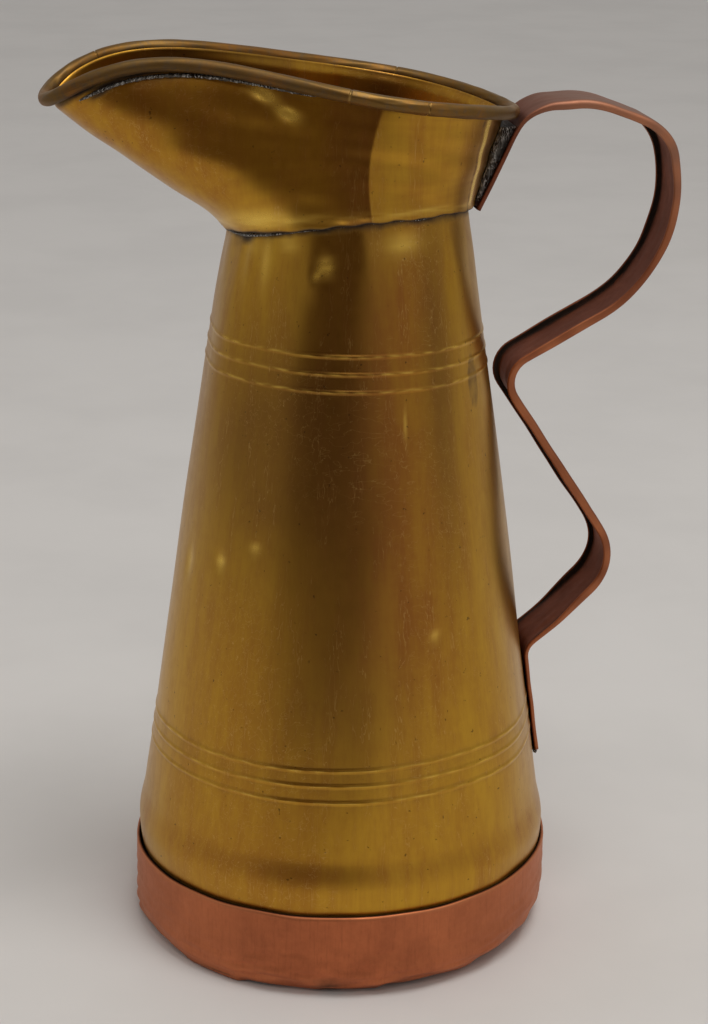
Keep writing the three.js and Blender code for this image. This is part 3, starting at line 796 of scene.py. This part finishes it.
def build_handle(sizes, material):
    """A shallow channel section carried along the side line. Its flanges fade out towards
    the soldered ends, where the strap is hollowed to fit the collar and the body."""
    line, ahead = strap_line(LINE_STEP)
    run = np.concatenate([[0], np.cumsum(np.linalg.norm(np.diff(line, axis=0), axis=1))])[:, None]
    left = run[-1] - run
    channel = rise(run, *CHANNEL_FROM_TOP) * rise(left, *CHANNEL_FROM_FOOT)
    cup = TOP_CUP * (1 - rise(run, *CUP_FROM_TOP)) + FOOT_CUP * (1 - rise(left, *CUP_FROM_FOOT))
    half = sizes.strap_width / 2 - STRAP_SIDE_GAP + 0.10 * MM * ripple(run / (30 * MM), 0, 6, SEED + 17)
    depth = FLAT_DEPTH + (sizes.flange_depth - FLAT_DEPTH) * channel
    depth = depth + 0.12 * MM * channel * ripple(run / (26 * MM), 0, 7, SEED + 18)
    bend = FLAT_BEND + BEND_GROWTH * channel
    inner_bend = np.maximum(bend - sizes.strap_sheet, 0.12 * MM)
    wall = sizes.strap_sheet
    quarter = np.linspace(0, math.pi / 2, 8)[None, :]
    lip = np.linspace(0, math.pi, 9)[None, 1:-1]
    across = np.linspace(0.02, 1, 9)[None, :]
    down = np.linspace(0.2, 1, 4)[None, :]

    def joined(*parts):
        return np.concatenate([np.broadcast_to(p, (len(run), p.shape[1])) for p in parts], axis=1)

    # Half of the section, from the middle of the outer face round the flange's lip and back
    # along the inner side: sideways place and depth below the outer face.
    sideways = joined(
        (half - bend) * across,
        (half - bend) + bend * np.sin(quarter[:, 1:]),
        half + 0 * down,
        (half - wall / 2) + wall / 2 * np.cos(lip),
        half - wall + 0 * down,
        (half - wall - inner_bend) + inner_bend * np.cos(quarter[:, 1:]),
        (half - wall - inner_bend) * across[:, ::-1],
    )
    lip_start = depth - wall / 2
    straight_run = np.maximum(lip_start - bend, 0.02 * MM)
    inner_run = np.maximum(lip_start - wall - inner_bend, 0.02 * MM)
    below = joined(
        0 * across,
        bend * (1 - np.cos(quarter[:, 1:])),
        bend + straight_run * down,
        lip_start + wall / 2 * np.sin(lip),
        lip_start - inner_run * (down - 0.2),
        wall + inner_bend * (1 - np.sin(quarter[:, 1:])),
        wall + 0 * across,
    )
    sideways = np.concatenate([sideways, -sideways[:, ::-1]], axis=1)
    below = np.concatenate([below, below[:, ::-1]], axis=1)
    share = sideways / (sizes.strap_width / 2)
    below = below + cup * share**2
    below = below + 0.07 * MM * ripple(run / (16 * MM), share * 2, 12, SEED + 19, 2, 9)
    sway = 0.25 * MM * ripple(run / (60 * MM), 0, 4, SEED + 20, 1, 5)
    sway = sway * rise(run, 30 * MM, 60 * MM) * rise(left, 40 * MM, 70 * MM)
    x = line[:, :1] + ahead[:, 1:] * below
    z = line[:, 1:] - ahead[:, :1] * below
    points = np.stack([x, sideways + sway, z], axis=-1)
    is_inner = (below > wall * 0.9 + cup * share**2) & (np.abs(sideways) < half - wall * 0.9)
    edge = hump(np.abs(sideways), half, 0.9 * MM) * (below < depth + 0.5 * MM)
    patchy = 0.5 + 0.5 * ripple(run / (12 * MM), share, 9, SEED + 21)
    wear_and_highlight = edge * (0.35 + 0.3 * patchy) * rise(run, 18 * MM, 50 * MM) * (1 - is_inner)
    wear_and_highlight = wear_and_highlight * (1 - 0.5 * rise(run, 95 * MM, 120 * MM) * rise(left, 150 * MM, 170 * MM))
    # Inner face and channel corners darkened, the far corner most: painted shade
    corner = hump(np.abs(sideways), half - wall, 1.6 * MM) * is_inner
    grime_and_shade = is_inner * (0.14 + 0.14 * patchy) + 0.75 * corner * (0.6 + 0.4 * (sideways > 0))
    grime_and_shade = grime_and_shade + (1 - is_inner) * (0.30 * (1 - rise(run, 26 * MM, 52 * MM)) * patchy)
    # Greyer along the upper run of the outer face: painted reflection
    painted_grey_reflection = (1 - is_inner) * rise(run, 20 * MM, 44 * MM) * (1 - rise(run, 74 * MM, 104 * MM))
    marks = {"grime_and_shade": grime_and_shade, "wear_and_highlight": wear_and_highlight, "painted_grey_reflection": painted_grey_reflection}
    piece = surface("strap_handle", points, wrap_rows=False, cap_rows=True, marks=marks)
    place(piece, material, "handle_copper", "handle_strap")


def solder_run(name, centre, out, size, seed, closed, sides=18):
    """A lumpy round bead carried along a line: its radius swells by an uneven ripple. Open runs shrink
    to rounded ends."""
    count = len(centre)
    share = np.linspace(0, 1, count, endpoint=not closed)[:, None]
    ring = np.linspace(0, TURN, sides, endpoint=False)[None, :] + math.pi / sides
    lumps = 1 + 0.22 * ripple(TURN * share, ring * 0.7, 14, seed, 9, 60)
    if not closed:
        lumps = lumps * np.sqrt(np.clip(1 - np.abs(2 * share - 1) ** 10, 0.02, 1))
    up = np.broadcast_to([0.0, 0.0, 1.0], out.shape)
    points = tube_points(centre, out, up, size * lumps, ring)
    return surface(name, points, wrap_rows=closed, cap_rows=not closed)


def ring_run(name, angle, radius, z, size, seed, closed, sides=18):
    """A solder run round the upright axis, at a radius and a height."""
    out = polar(np.ones_like(angle), angle, 0 * angle)
    return solder_run(name, polar(radius, angle, z), out, size, seed, closed, sides)


def build_solders(sizes, material):
    """Solder runs under the neck line, under the rim, round both handle ends and the base."""
    angle = angles_round(NECK_SOLDER_POINTS)
    blob = about(angle, -148 * DEGREE, 0.36) + 0.45 * about(angle, -66 * DEGREE, 0.10)
    blob = blob + 0.35 * about(angle, 8 * DEGREE, 0.35)
    size = (0.03 + 0.36 * blob) * MM
    z = neck_line(angle) - 0.25 * MM - size
    radius = cone_radius(z) + 0.1 * MM + 0.45 * size
    seam = ring_run("neck_seam_solder", angle, radius, z, size[:, None], SEED + 30, True)
    place(seam, material, "solder", "neck_solder")

    t = np.linspace(*RIM_SOLDER_RUN, 260)
    _, out, _ = mouth_frame(t)
    centre = collar_wall(sizes, t, np.full_like(t, RIM_SOLDER_LEVEL), 0) + out * 0.45 * MM
    rim = solder_run("rim_underside_solder", centre, out, 0.48 * MM, SEED + 31, False)
    place(rim, material, "solder", "rim_solder")

    angle = np.linspace(-FOOT_SOLDER_HALF_ANGLE, FOOT_SOLDER_HALF_ANGLE, 60)
    z = LEG_HEIGHTS[1] - 0.9 * MM
    radius = cone_radius(z) + 0.8 * MM
    foot = ring_run("handle_foot_fillet", angle, radius, z, 0.6 * MM, SEED + 32, False)
    place(foot, material, "solder", "handle_foot_solder")

    radius = SKIRT_RADIUS - sizes.sheet - 0.9 * MM
    z = PAN_RIM_Z + 1.2 * MM
    angle = angles_round(BASE_SOLDER_POINTS)
    base = ring_run("base_seam_solder", angle, radius, z, 0.75 * MM, SEED + 33, True, sides=12)
    place(base, material, "solder", "base_solder")
    build_wedge(sizes, material)


def build_wedge(sizes, material):
    """Solder between the collar and the upper leg: at each height a flat ring runs along the
    wall one way and along the strap's inner face back, both roughened by a ripple."""
    (foot_x, foot_z, _), (corner_x, corner_z, _) = STRAP_CORNERS[:2]
    lean = (corner_x - foot_x) / (corner_z - foot_z)
    level = np.linspace(*WEDGE_LEVELS, 60)[:, None]
    side = np.linspace(-WEDGE_HALF_ANGLE, WEDGE_HALF_ANGLE, 36)[None, :]
    t_grid, level_grid = np.broadcast_arrays(math.pi - side, level)
    wall = collar_wall(sizes, t_grid, level_grid, 0)
    wall[..., 0] += 0.15 * MM
    share = wall[..., 1] / (sizes.strap_width / 2)
    strap = wall.copy()
    strap[..., 0] = foot_x + (wall[..., 2] - foot_z) * lean + TOP_CUP * share**2 - 0.25 * MM
    strap[..., 0] = np.maximum(strap[..., 0], wall[..., 0] + 0.15 * MM)
    spill = 0.5 * MM * ripple(level * 7, side * 20, 12, SEED + 34, 3, 14)
    swell = rise(np.abs(share), 0.7, 1.0)
    middle = (wall + strap) / 2
    wall, strap = (middle + (face - middle) * (1 - 0.3 * swell[..., None]) for face in (wall, strap))
    for face in (wall, strap):
        face[..., 1] += spill * swell * np.sign(face[..., 1])
    points = both_faces(wall, strap[:, ::-1])
    piece = surface("handle_top_fillet", points, wrap_rows=False, cap_rows=True)
    place(piece, material, "solder", "handle_top_solder")


# Materials

# Dark brown of smoke, also used for painted shade and painted dark reflections
SMOKE_AND_SHADE = (0.17, 0.075, 0.018)
# Worn brass, also the colour of painted highlights
WORN_AND_HIGHLIGHT_BRASS = (0.95, 0.62, 0.10)
SCRATCHED_BRASS = (0.74, 0.48, 0.15)
WORN_RIM = (0.48, 0.30, 0.09)
# Grey of the painted reflection on the handle
COPPER_GREY_REFLECTION = (0.34, 0.225, 0.175)
FLUX = (0.11, 0.085, 0.06)
SCRAPED_SOLDER = (0.62, 0.61, 0.59)
RUST = (0.10, 0.035, 0.012)


class Value:
    """A shader socket that takes part in sums: each operator adds its Math node."""

    def __init__(self, finish, socket):
        self.finish = finish
        self.socket = socket

    def math(self, operation, *values):
        inputs = dict(enumerate(values))
        return self.finish.node("ShaderNodeMath", {"operation": operation}, inputs)

    def __add__(self, other):
        return self.math("ADD", self, other)

    def __sub__(self, other):
        return self.math("SUBTRACT", self, other)

    def __rsub__(self, other):
        return self.math("SUBTRACT", other, self)

    def __mul__(self, other):
        return self.math("MULTIPLY", self, other)

    __radd__ = __add__
    __rmul__ = __mul__

    def step(self, low, high):
        """0 below low, 1 above high, and a smooth climb between."""
        settings = {"interpolation_type": "SMOOTHSTEP"}
        inputs = {"Value": self, "From Min": low, "From Max": high}
        return self.finish.node("ShaderNodeMapRange", settings, inputs)


class Finish:
    """One material, with a method that adds any node and a few short forms of it."""

    def __init__(self, name):
        self.material = bpy.data.materials.new(name)
        self.material.use_nodes = True
        self.tree = self.material.node_tree
        self.tree.nodes.clear()

    def node(self, kind, settings=None, inputs=None, output=0):
        made = self.tree.nodes.new(kind)
        for key, value in (settings or {}).items():
            setattr(made, key, value)
        for key, value in (inputs or {}).items():
            if isinstance(value, Value):
                self.tree.links.new(value.socket, made.inputs[key])
            else:
                made.inputs[key].default_value = value
        return Value(self, made.outputs[output]) if len(made.outputs) else made

    def place(self):
        return self.node("ShaderNodeTexCoord", output="Object")

    def mark(self, name):
        return self.node("ShaderNodeAttribute", {"attribute_name": name}, output="Fac")

    def noise(self, stretch, detail=4.0, rough=0.6, shift=0.0, twist=0.0):
        """Noise whose grain per metre along x, y and z is the stretch."""
        inputs = {"Vector": self.place(), "Location": (shift, -shift, shift), "Scale": stretch}
        where = self.node("ShaderNodeMapping", inputs=inputs)
        inputs = {"Vector": where, "Scale": 1.0, "Detail": detail, "Roughness": rough}
        inputs["Distortion"] = twist
        return self.node("ShaderNodeTexNoise", inputs=inputs)

    def scratches(self, stretch, shift=0.0, thin=0.03):
        """Fine lines: the narrow band of a stretched noise about its middle value."""
        field = self.noise(stretch, 2.0, 0.5, shift)
        away = (field - 0.5).math("ABSOLUTE", field - 0.5)
        return 1 - away.step(0.0, thin)

    def mix(self, factor, a, b):
        colours = [c if isinstance(c, Value) else (*c, 1) for c in (a, b)]
        inputs = {0: factor, 6: colours[0], 7: colours[1]}
        return self.node("ShaderNodeMix", {"data_type": "RGBA"}, inputs, output=2)

    def bump(self, height, strength, distance, under=None):
        inputs = {"Height": height, "Strength": strength, "Distance": distance}
        if under is not None:
            inputs["Normal"] = under
        return self.node("ShaderNodeBump", inputs=inputs)

    def metal(self, **inputs):
        """The shader and the output, with spaces in socket names written as underscores."""
        named = {key.replace("_", " "): value for key, value in inputs.items()}
        shader = self.node("ShaderNodeBsdfPrincipled", inputs=named)
        self.node("ShaderNodeOutputMaterial", inputs={"Surface": shader})
        return self.material


def brass_finish(name, colours, age=0.0):
    """Satin brass: brown clouds, upright brush grain, specks, and dirt, wear, painted shade, painted
    highlights and painted dark reflections from the marks.
    """
    f = Finish(name)
    clouds = f.noise((26, 26, 11), 5.0, 0.6, shift=3.1, twist=0.6)
    streaks = f.noise((240, 240, 9), 3.0, 0.65, shift=1.7)
    grain = f.noise((1500, 1500, 70), 3.0, 0.7)
    mottle = f.noise((330, 330, 330), 4.0, 0.6, shift=5.3)
    specks = f.noise((640, 640, 640), 2.0, 0.5, shift=9.4).step(0.70, 0.78)
    grime_and_shade = f.mark("grime_and_shade")
    wear_and_highlight = f.mark("wear_and_highlight")
    tone = (clouds * 0.75 + streaks * 0.6 + mottle * 0.2).step(0.56 - 0.35 * age, 1.02)
    # The tone mark also carries painted shade and painted dark reflections
    tone = tone * 0.6 + f.mark("tone") * 0.75
    colour = f.mix(tone, colours.brass, colours.brown)
    colour = f.mix((grain - 0.5).step(-0.1, 0.5) * 0.35, colour, colours.brown)
    smoke_and_shade = f.mark("smoke_and_shade") * (0.65 + clouds * 0.5)
    colour = f.mix(smoke_and_shade * 0.8, colour, SMOKE_AND_SHADE)
    colour = f.mix(wear_and_highlight * 0.85, colour, WORN_AND_HIGHLIGHT_BRASS)
    colour = f.mix(specks * 0.6, colour, colours.grime_and_shade)
    fine = f.scratches((900, 900, 45), 6.6, 0.02) * streaks.step(0.5, 0.62)
    slanted = f.scratches((160, 700, 420), 7.7, 0.012) * clouds.step(0.45, 0.6)
    scratched = fine * 0.3 + slanted * 0.3
    colour = f.mix(scratched, colour, SCRATCHED_BRASS)
    dirt_and_shade = (grime_and_shade + (mottle - 0.5) * 0.4 * grime_and_shade.step(0.0, 0.3)).step(0.05, 0.95)
    colour = f.mix(dirt_and_shade, colour, colours.grime_and_shade)
    rough = 0.24 + 0.12 * age + tone * 0.06 + mottle * 0.10 + grain * 0.06 + dirt_and_shade * 0.3 - wear_and_highlight * 0.1
    relief = f.bump(grain * 0.5 + mottle * 0.5 + scratched * 0.4, 0.16, 0.1 * MM)
    broad = f.noise((70, 70, 45), 2.0, 0.5, shift=2.2)
    relief = f.bump(broad, 0.22, 0.6 * MM, relief)
    return f.metal(
        Base_Color=colour,
        Metallic=1 - dirt_and_shade * 0.6 - wear_and_highlight * 0.28,
        Roughness=rough,
        Coat_Weight=0.10,
        Coat_Roughness=0.4,
        Normal=relief,
    )


def rim_finish(colours):
    """Dull brown brass, rubbed along the top, with grey solder smears and dirt underneath and painted
    shade inside the roll.
    """
    f = Finish("aged_rim_brass")
    clouds = f.noise((90, 90, 90), 5.0, 0.65, shift=4.4)
    mottle = f.noise((700, 700, 700), 3.0, 0.6)
    grime_and_shade = f.mark("grime_and_shade")
    wear_and_highlight = f.mark("wear_and_highlight")
    colour = f.mix(clouds.step(0.4, 0.75) * 0.5, colours.rim, colours.brown)
    colour = f.mix(mottle.step(0.45, 0.75) * 0.35, colour, colours.solder)
    colour = f.mix(wear_and_highlight * 0.45, colour, WORN_RIM)
    dirt_and_shade = grime_and_shade * (0.55 + mottle * 0.5)
    colour = f.mix(dirt_and_shade, colour, colours.grime_and_shade)
    rough = 0.38 + clouds * 0.14 + mottle * 0.12 + dirt_and_shade * 0.25 - wear_and_highlight * 0.14
    relief = f.bump(mottle * 0.6 + clouds * 0.4, 0.25, 0.15 * MM)
    return f.metal(Base_Color=colour, Metallic=1 - dirt_and_shade * 0.5, Roughness=rough, Normal=relief)


def copper_finish(name, colours, dark, grain_stretch):
    """Brushed copper: brown clouds over salmon, brush grain, darker stains, bright rubbed edges, and
    painted shade, a painted highlight and a painted grey reflection from the marks.
    """
    f = Finish(name)
    clouds = f.noise((60, 60, 45), 5.0, 0.62, shift=6.0, twist=0.5)
    stains = f.noise((24, 24, 30), 3.0, 0.5, shift=8.0)
    grain = f.noise(grain_stretch, 3.0, 0.7)
    mottle = f.noise((600, 600, 600), 3.0, 0.6)
    grime_and_shade = f.mark("grime_and_shade")
    wear_and_highlight = f.mark("wear_and_highlight")
    tone = (clouds * 0.6 + stains * 0.5 + mottle * 0.12).step(0.42 - 0.3 * dark, 0.86 - 0.2 * dark)
    colour = f.mix(tone * (0.5 + 0.5 * dark), colours.copper, colours.copper_dark)
    colour = f.mix((grain - 0.45).step(0.0, 0.4) * 0.35, colour, colours.copper_dark)
    # Painted grey reflection along the handle's upper run
    painted_grey_reflection = f.mark("painted_grey_reflection") * (0.35 + clouds * 0.5)
    colour = f.mix(painted_grey_reflection, colour, COPPER_GREY_REFLECTION)
    colour = f.mix(wear_and_highlight * 0.85, colour, colours.copper_worn_and_highlight)
    dirt_and_shade = (grime_and_shade * (0.75 + mottle * 0.5)).step(0.05, 1.05)
    colour = f.mix(dirt_and_shade, colour, colours.grime_and_shade)
    rough = 0.44 + tone * 0.08 + mottle * 0.10 + grain * 0.08 + dirt_and_shade * 0.22 - wear_and_highlight * 0.10
    relief = f.bump(grain * 0.6 + mottle * 0.4, 0.16, 0.12 * MM)
    relief = f.bump(clouds, 0.30, 0.5 * MM, relief)
    return f.metal(Base_Color=colour, Metallic=1 - dirt_and_shade * 0.5, Roughness=rough, Normal=relief)


def solder_finish(colours):
    """Dull grey solder with dark flux in its hollows and bright scraped lines."""
    f = Finish("soft_solder")
    lumps = f.noise((900, 900, 900), 4.0, 0.65)
    clouds = f.noise((260, 260, 260), 4.0, 0.6, shift=2.0)
    scraped = f.scratches((1500, 1500, 300), 4.0, 0.06) * clouds.step(0.38, 0.5)
    colour = f.mix(clouds.step(0.42, 0.62), colours.solder, colours.grime_and_shade)
    colour = f.mix(lumps.step(0.5, 0.7) * 0.5, colour, FLUX)
    colour = f.mix(scraped * 0.85, colour, SCRAPED_SOLDER)
    rough = 0.42 + lumps * 0.25 - scraped * 0.12
    relief = f.bump(lumps * 0.7 + scraped * 0.3, 0.5, 0.25 * MM)
    return f.metal(Base_Color=colour, Metallic=0.8, Roughness=rough, Normal=relief)


def wire_finish(colours):
    """Drawn iron wire, dark, with thin rust clouds."""
    f = Finish("dark_iron_wire")
    rust = f.noise((420, 420, 420), 4.0, 0.65).step(0.5, 0.68)
    colour = f.mix(rust, colours.wire, RUST)
    relief = f.bump(rust, 0.4, 0.1 * MM)
    return f.metal(
        Base_Color=colour, Metallic=1 - rust * 0.7, Roughness=0.45 + rust * 0.35, Normal=relief
    )


def floor_finish(colours):
    """Pale painted table top with a very faint mottle."""
    f = Finish("pale_table_top")
    mottle = f.noise((9, 9, 9), 4.0, 0.6)
    darker = tuple(0.95 * c for c in colours.floor)
    colour = f.mix(mottle.step(0.35, 0.7), colours.floor, darker)
    relief = f.bump(f.noise((350, 350, 350), 2.0, 0.5), 0.08, 0.2 * MM)
    return f.metal(Base_Color=colour, Roughness=0.62, Normal=relief)


# Stage

CAMERA_PLACE = (-114.6 * MM, -650 * MM, 342.5 * MM)
CAMERA_HEADING = 10.24 * DEGREE  # from +Y towards +X
CAMERA_PITCH = 18.598 * DEGREE  # downwards
CAMERA_ROLL = 0.804 * DEGREE
CAMERA_LENS = 87.39
FLOOR_HALF = 6.0
ROOM_COLOUR = (0.425, 0.413, 0.40)

# Cards: centre, the point that it faces, width, height and colour
CARDS = {
    "dark_card": ((-0.28, -0.70, 0.40), (0, 0, 0.16), 0.95, 1.0, (0.072, 0.040, 0.020)),
    "dark_ground": ((-0.2, -0.85, 0.002), (-0.2, -0.85, 1), 0.6, 0.4, (0.09, 0.06, 0.04)),
}

# Lights: place, the point that it aims at, diameter, watts and colour
LIGHTS = {
    "top_light": ((0.25, -0.35, 1.5), (0, 0, 0.1), 0.7, 8, (1, 0.985, 0.96)),
    "lamp": ((-0.1, -1.15, 1.30), (0, 0, 0.2), 0.22, 1.6, (1, 0.97, 0.92)),
}


def make_camera():
    """A camera with its right, up and back directions worked out from heading, pitch and roll."""
    data = bpy.data.cameras.new("camera")
    data.lens = CAMERA_LENS
    data.sensor_width = 36
    data.clip_start = 0.02
    data.clip_end = 60
    camera = bpy.data.objects.new("camera", data)
    h, p, r = CAMERA_HEADING, CAMERA_PITCH, CAMERA_ROLL
    forward = Vector((math.sin(h) * math.cos(p), math.cos(h) * math.cos(p), -math.sin(p)))
    level = Vector((math.cos(h), -math.sin(h), 0))
    steep = level.cross(forward)
    right = math.cos(r) * level + math.sin(r) * steep
    up = -math.sin(r) * level + math.cos(r) * steep
    turn = Matrix((right, up, -forward)).transposed()
    camera.matrix_world = Matrix.Translation(CAMERA_PLACE) @ turn.to_4x4()
    bpy.context.scene.collection.objects.link(camera)
    bpy.context.scene.camera = camera


def shade_card(name, centre, facing, width, height, colour):
    """A flat card that faces a point; it darkens reflections and isn't seen itself."""
    back = (Vector(facing) - Vector(centre)).normalized()
    turn = back.to_track_quat("Z", "Y").to_matrix()
    x, y = turn.col[0] * width / 2, turn.col[1] * height / 2
    middle = Vector(centre)
    corners = [middle - x - y, middle + x - y, middle + x + y, middle - x + y]
    f = Finish(name)
    glow = f.node("ShaderNodeEmission", inputs={"Color": (*colour, 1), "Strength": 1.0})
    f.node("ShaderNodeOutputMaterial", inputs={"Surface": glow})
    card = flat_piece(name, corners, f.material)
    card.visible_camera = False
    card.visible_shadow = False
    card.visible_diffuse = False


def soft_light(name, place, aim, size, power, colour):
    data = bpy.data.lights.new(name, "AREA")
    data.shape = "DISK"
    data.size = size
    data.energy = power
    data.color = colour
    lamp = bpy.data.objects.new(name, data)
    lamp.location = place
    lamp.rotation_mode = "QUATERNION"
    lamp.rotation_quaternion = (Vector(aim) - Vector(place)).to_track_quat("-Z", "Y")
    bpy.context.scene.collection.objects.link(lamp)


def make_world():
    """An even pale room."""
    world = bpy.data.worlds.new("pale_room")
    world.use_nodes = True
    shade = world.node_tree.nodes["Background"]
    shade.inputs["Color"].default_value = (*ROOM_COLOUR, 1)
    shade.inputs["Strength"].default_value = 1.0
    bpy.context.scene.world = world


def flat_piece(name, corners, material):
    """One four-sided face on the stage."""
    mesh = bpy.data.meshes.new(name)
    mesh.from_pydata([tuple(corner) for corner in corners], [], [(0, 1, 2, 3)])
    mesh.materials.append(material)
    piece = bpy.data.objects.new(name, mesh)
    bpy.context.scene.collection.objects.link(piece)
    return piece


def make_floor(colours):
    """A wide square, level with the foot."""
    h = FLOOR_HALF
    corners = [(-h, -h, 0), (h, -h, 0), (h, h, 0), (-h, h, 0)]
    flat_piece("table_top", corners, floor_finish(colours))


# Operators


class BuildOperator:
    """What the jug's operators share."""

    bl_options = {"REGISTER", "UNDO"}

    def execute(self, context):
        self.build(context.scene.jug_sizes, context.scene.jug_colours)
        return {"FINISHED"}


class JUG_OT_stage(BuildOperator, bpy.types.Operator):
    """Set the camera, the pale table top and the soft studio light"""

    bl_idname = "jug.stage"
    bl_label = "Stage"

    def build(self, sizes, colours):
        make_camera()
        make_world()
        make_floor(colours)
        bpy.context.scene.view_settings.view_transform = "Standard"
        for name, card in CARDS.items():
            shade_card(name, *card)
        for name, light in LIGHTS.items():
            soft_light(name, *light)


class JUG_OT_body(BuildOperator, bpy.types.Operator):
    """Form the tapered brass body with its raised lines"""

    bl_idname = "jug.body"
    bl_label = "Body"

    def build(self, sizes, colours):
        build_body(sizes, brass_finish("satin_brass_body", colours))


class JUG_OT_collar(BuildOperator, bpy.types.Operator):
    """Form the brass collar with its pouring spout"""

    bl_idname = "jug.collar"
    bl_label = "Collar and spout"

    def build(self, sizes, colours):
        build_collar(sizes, brass_finish("satin_brass_collar", colours))


class JUG_OT_rim(BuildOperator, bpy.types.Operator):
    """Roll the rim over its wire"""

    bl_idname = "jug.rim"
    bl_label = "Rim and wire"

    def build(self, sizes, colours):
        build_rim(sizes, rim_finish(colours), wire_finish(colours))


class JUG_OT_foot(BuildOperator, bpy.types.Operator):
    """Beat the copper foot band and the brass base pan"""

    bl_idname = "jug.foot"
    bl_label = "Foot band and base pan"

    def build(self, sizes, colours):
        copper = copper_finish("brushed_foot_copper", colours, 0.0, (1300, 1300, 90))
        build_foot(sizes, copper, brass_finish("dull_base_brass", colours, age=0.8))


class JUG_OT_handle(BuildOperator, bpy.types.Operator):
    """Bend the copper strap handle"""

    bl_idname = "jug.handle"
    bl_label = "Handle"

    def build(self, sizes, colours):
        build_handle(sizes, copper_finish("toned_handle_copper", colours, 1.0, (160, 1400, 160)))


class JUG_OT_solder(BuildOperator, bpy.types.Operator):
    """Run the solder along the joints"""

    bl_idname = "jug.solder"
    bl_label = "Solder"

    def build(self, sizes, colours):
        build_solders(sizes, solder_finish(colours))


OPERATORS = (
    JUG_OT_stage,
    JUG_OT_body,
    JUG_OT_collar,
    JUG_OT_rim,
    JUG_OT_foot,
    JUG_OT_handle,
    JUG_OT_solder,
)


class JUG_PT_panel(bpy.types.Panel):
    bl_label = "Water jug"
    bl_idname = "JUG_PT_panel"
    bl_space_type = "VIEW_3D"
    bl_region_type = "UI"
    bl_category = "Jug"

    def draw(self, context):
        for operator in OPERATORS:
            self.layout.operator(operator.bl_idname)
        for group in (context.scene.jug_sizes, context.scene.jug_colours):
            box = self.layout.box()
            for name in group.bl_rna.properties.keys():
                if name not in {"rna_type", "name"}:
                    box.prop(group, name)


CLASSES = (JugSizes, JugColours, *OPERATORS, JUG_PT_panel)


def register():
    for cls in CLASSES:
        bpy.utils.register_class(cls)
    bpy.types.Scene.jug_sizes = bpy.props.PointerProperty(type=JugSizes)
    bpy.types.Scene.jug_colours = bpy.props.PointerProperty(type=JugColours)


def unregister():
    del bpy.types.Scene.jug_colours
    del bpy.types.Scene.jug_sizes
    for cls in reversed(CLASSES):
        bpy.utils.unregister_class(cls)


def main():
    register()
    bpy.ops.jug.stage()
    bpy.ops.jug.body()
    bpy.ops.jug.collar()
    bpy.ops.jug.rim()
    bpy.ops.jug.foot()
    bpy.ops.jug.handle()
    bpy.ops.jug.solder()


if __name__ == "__main__":
    main()
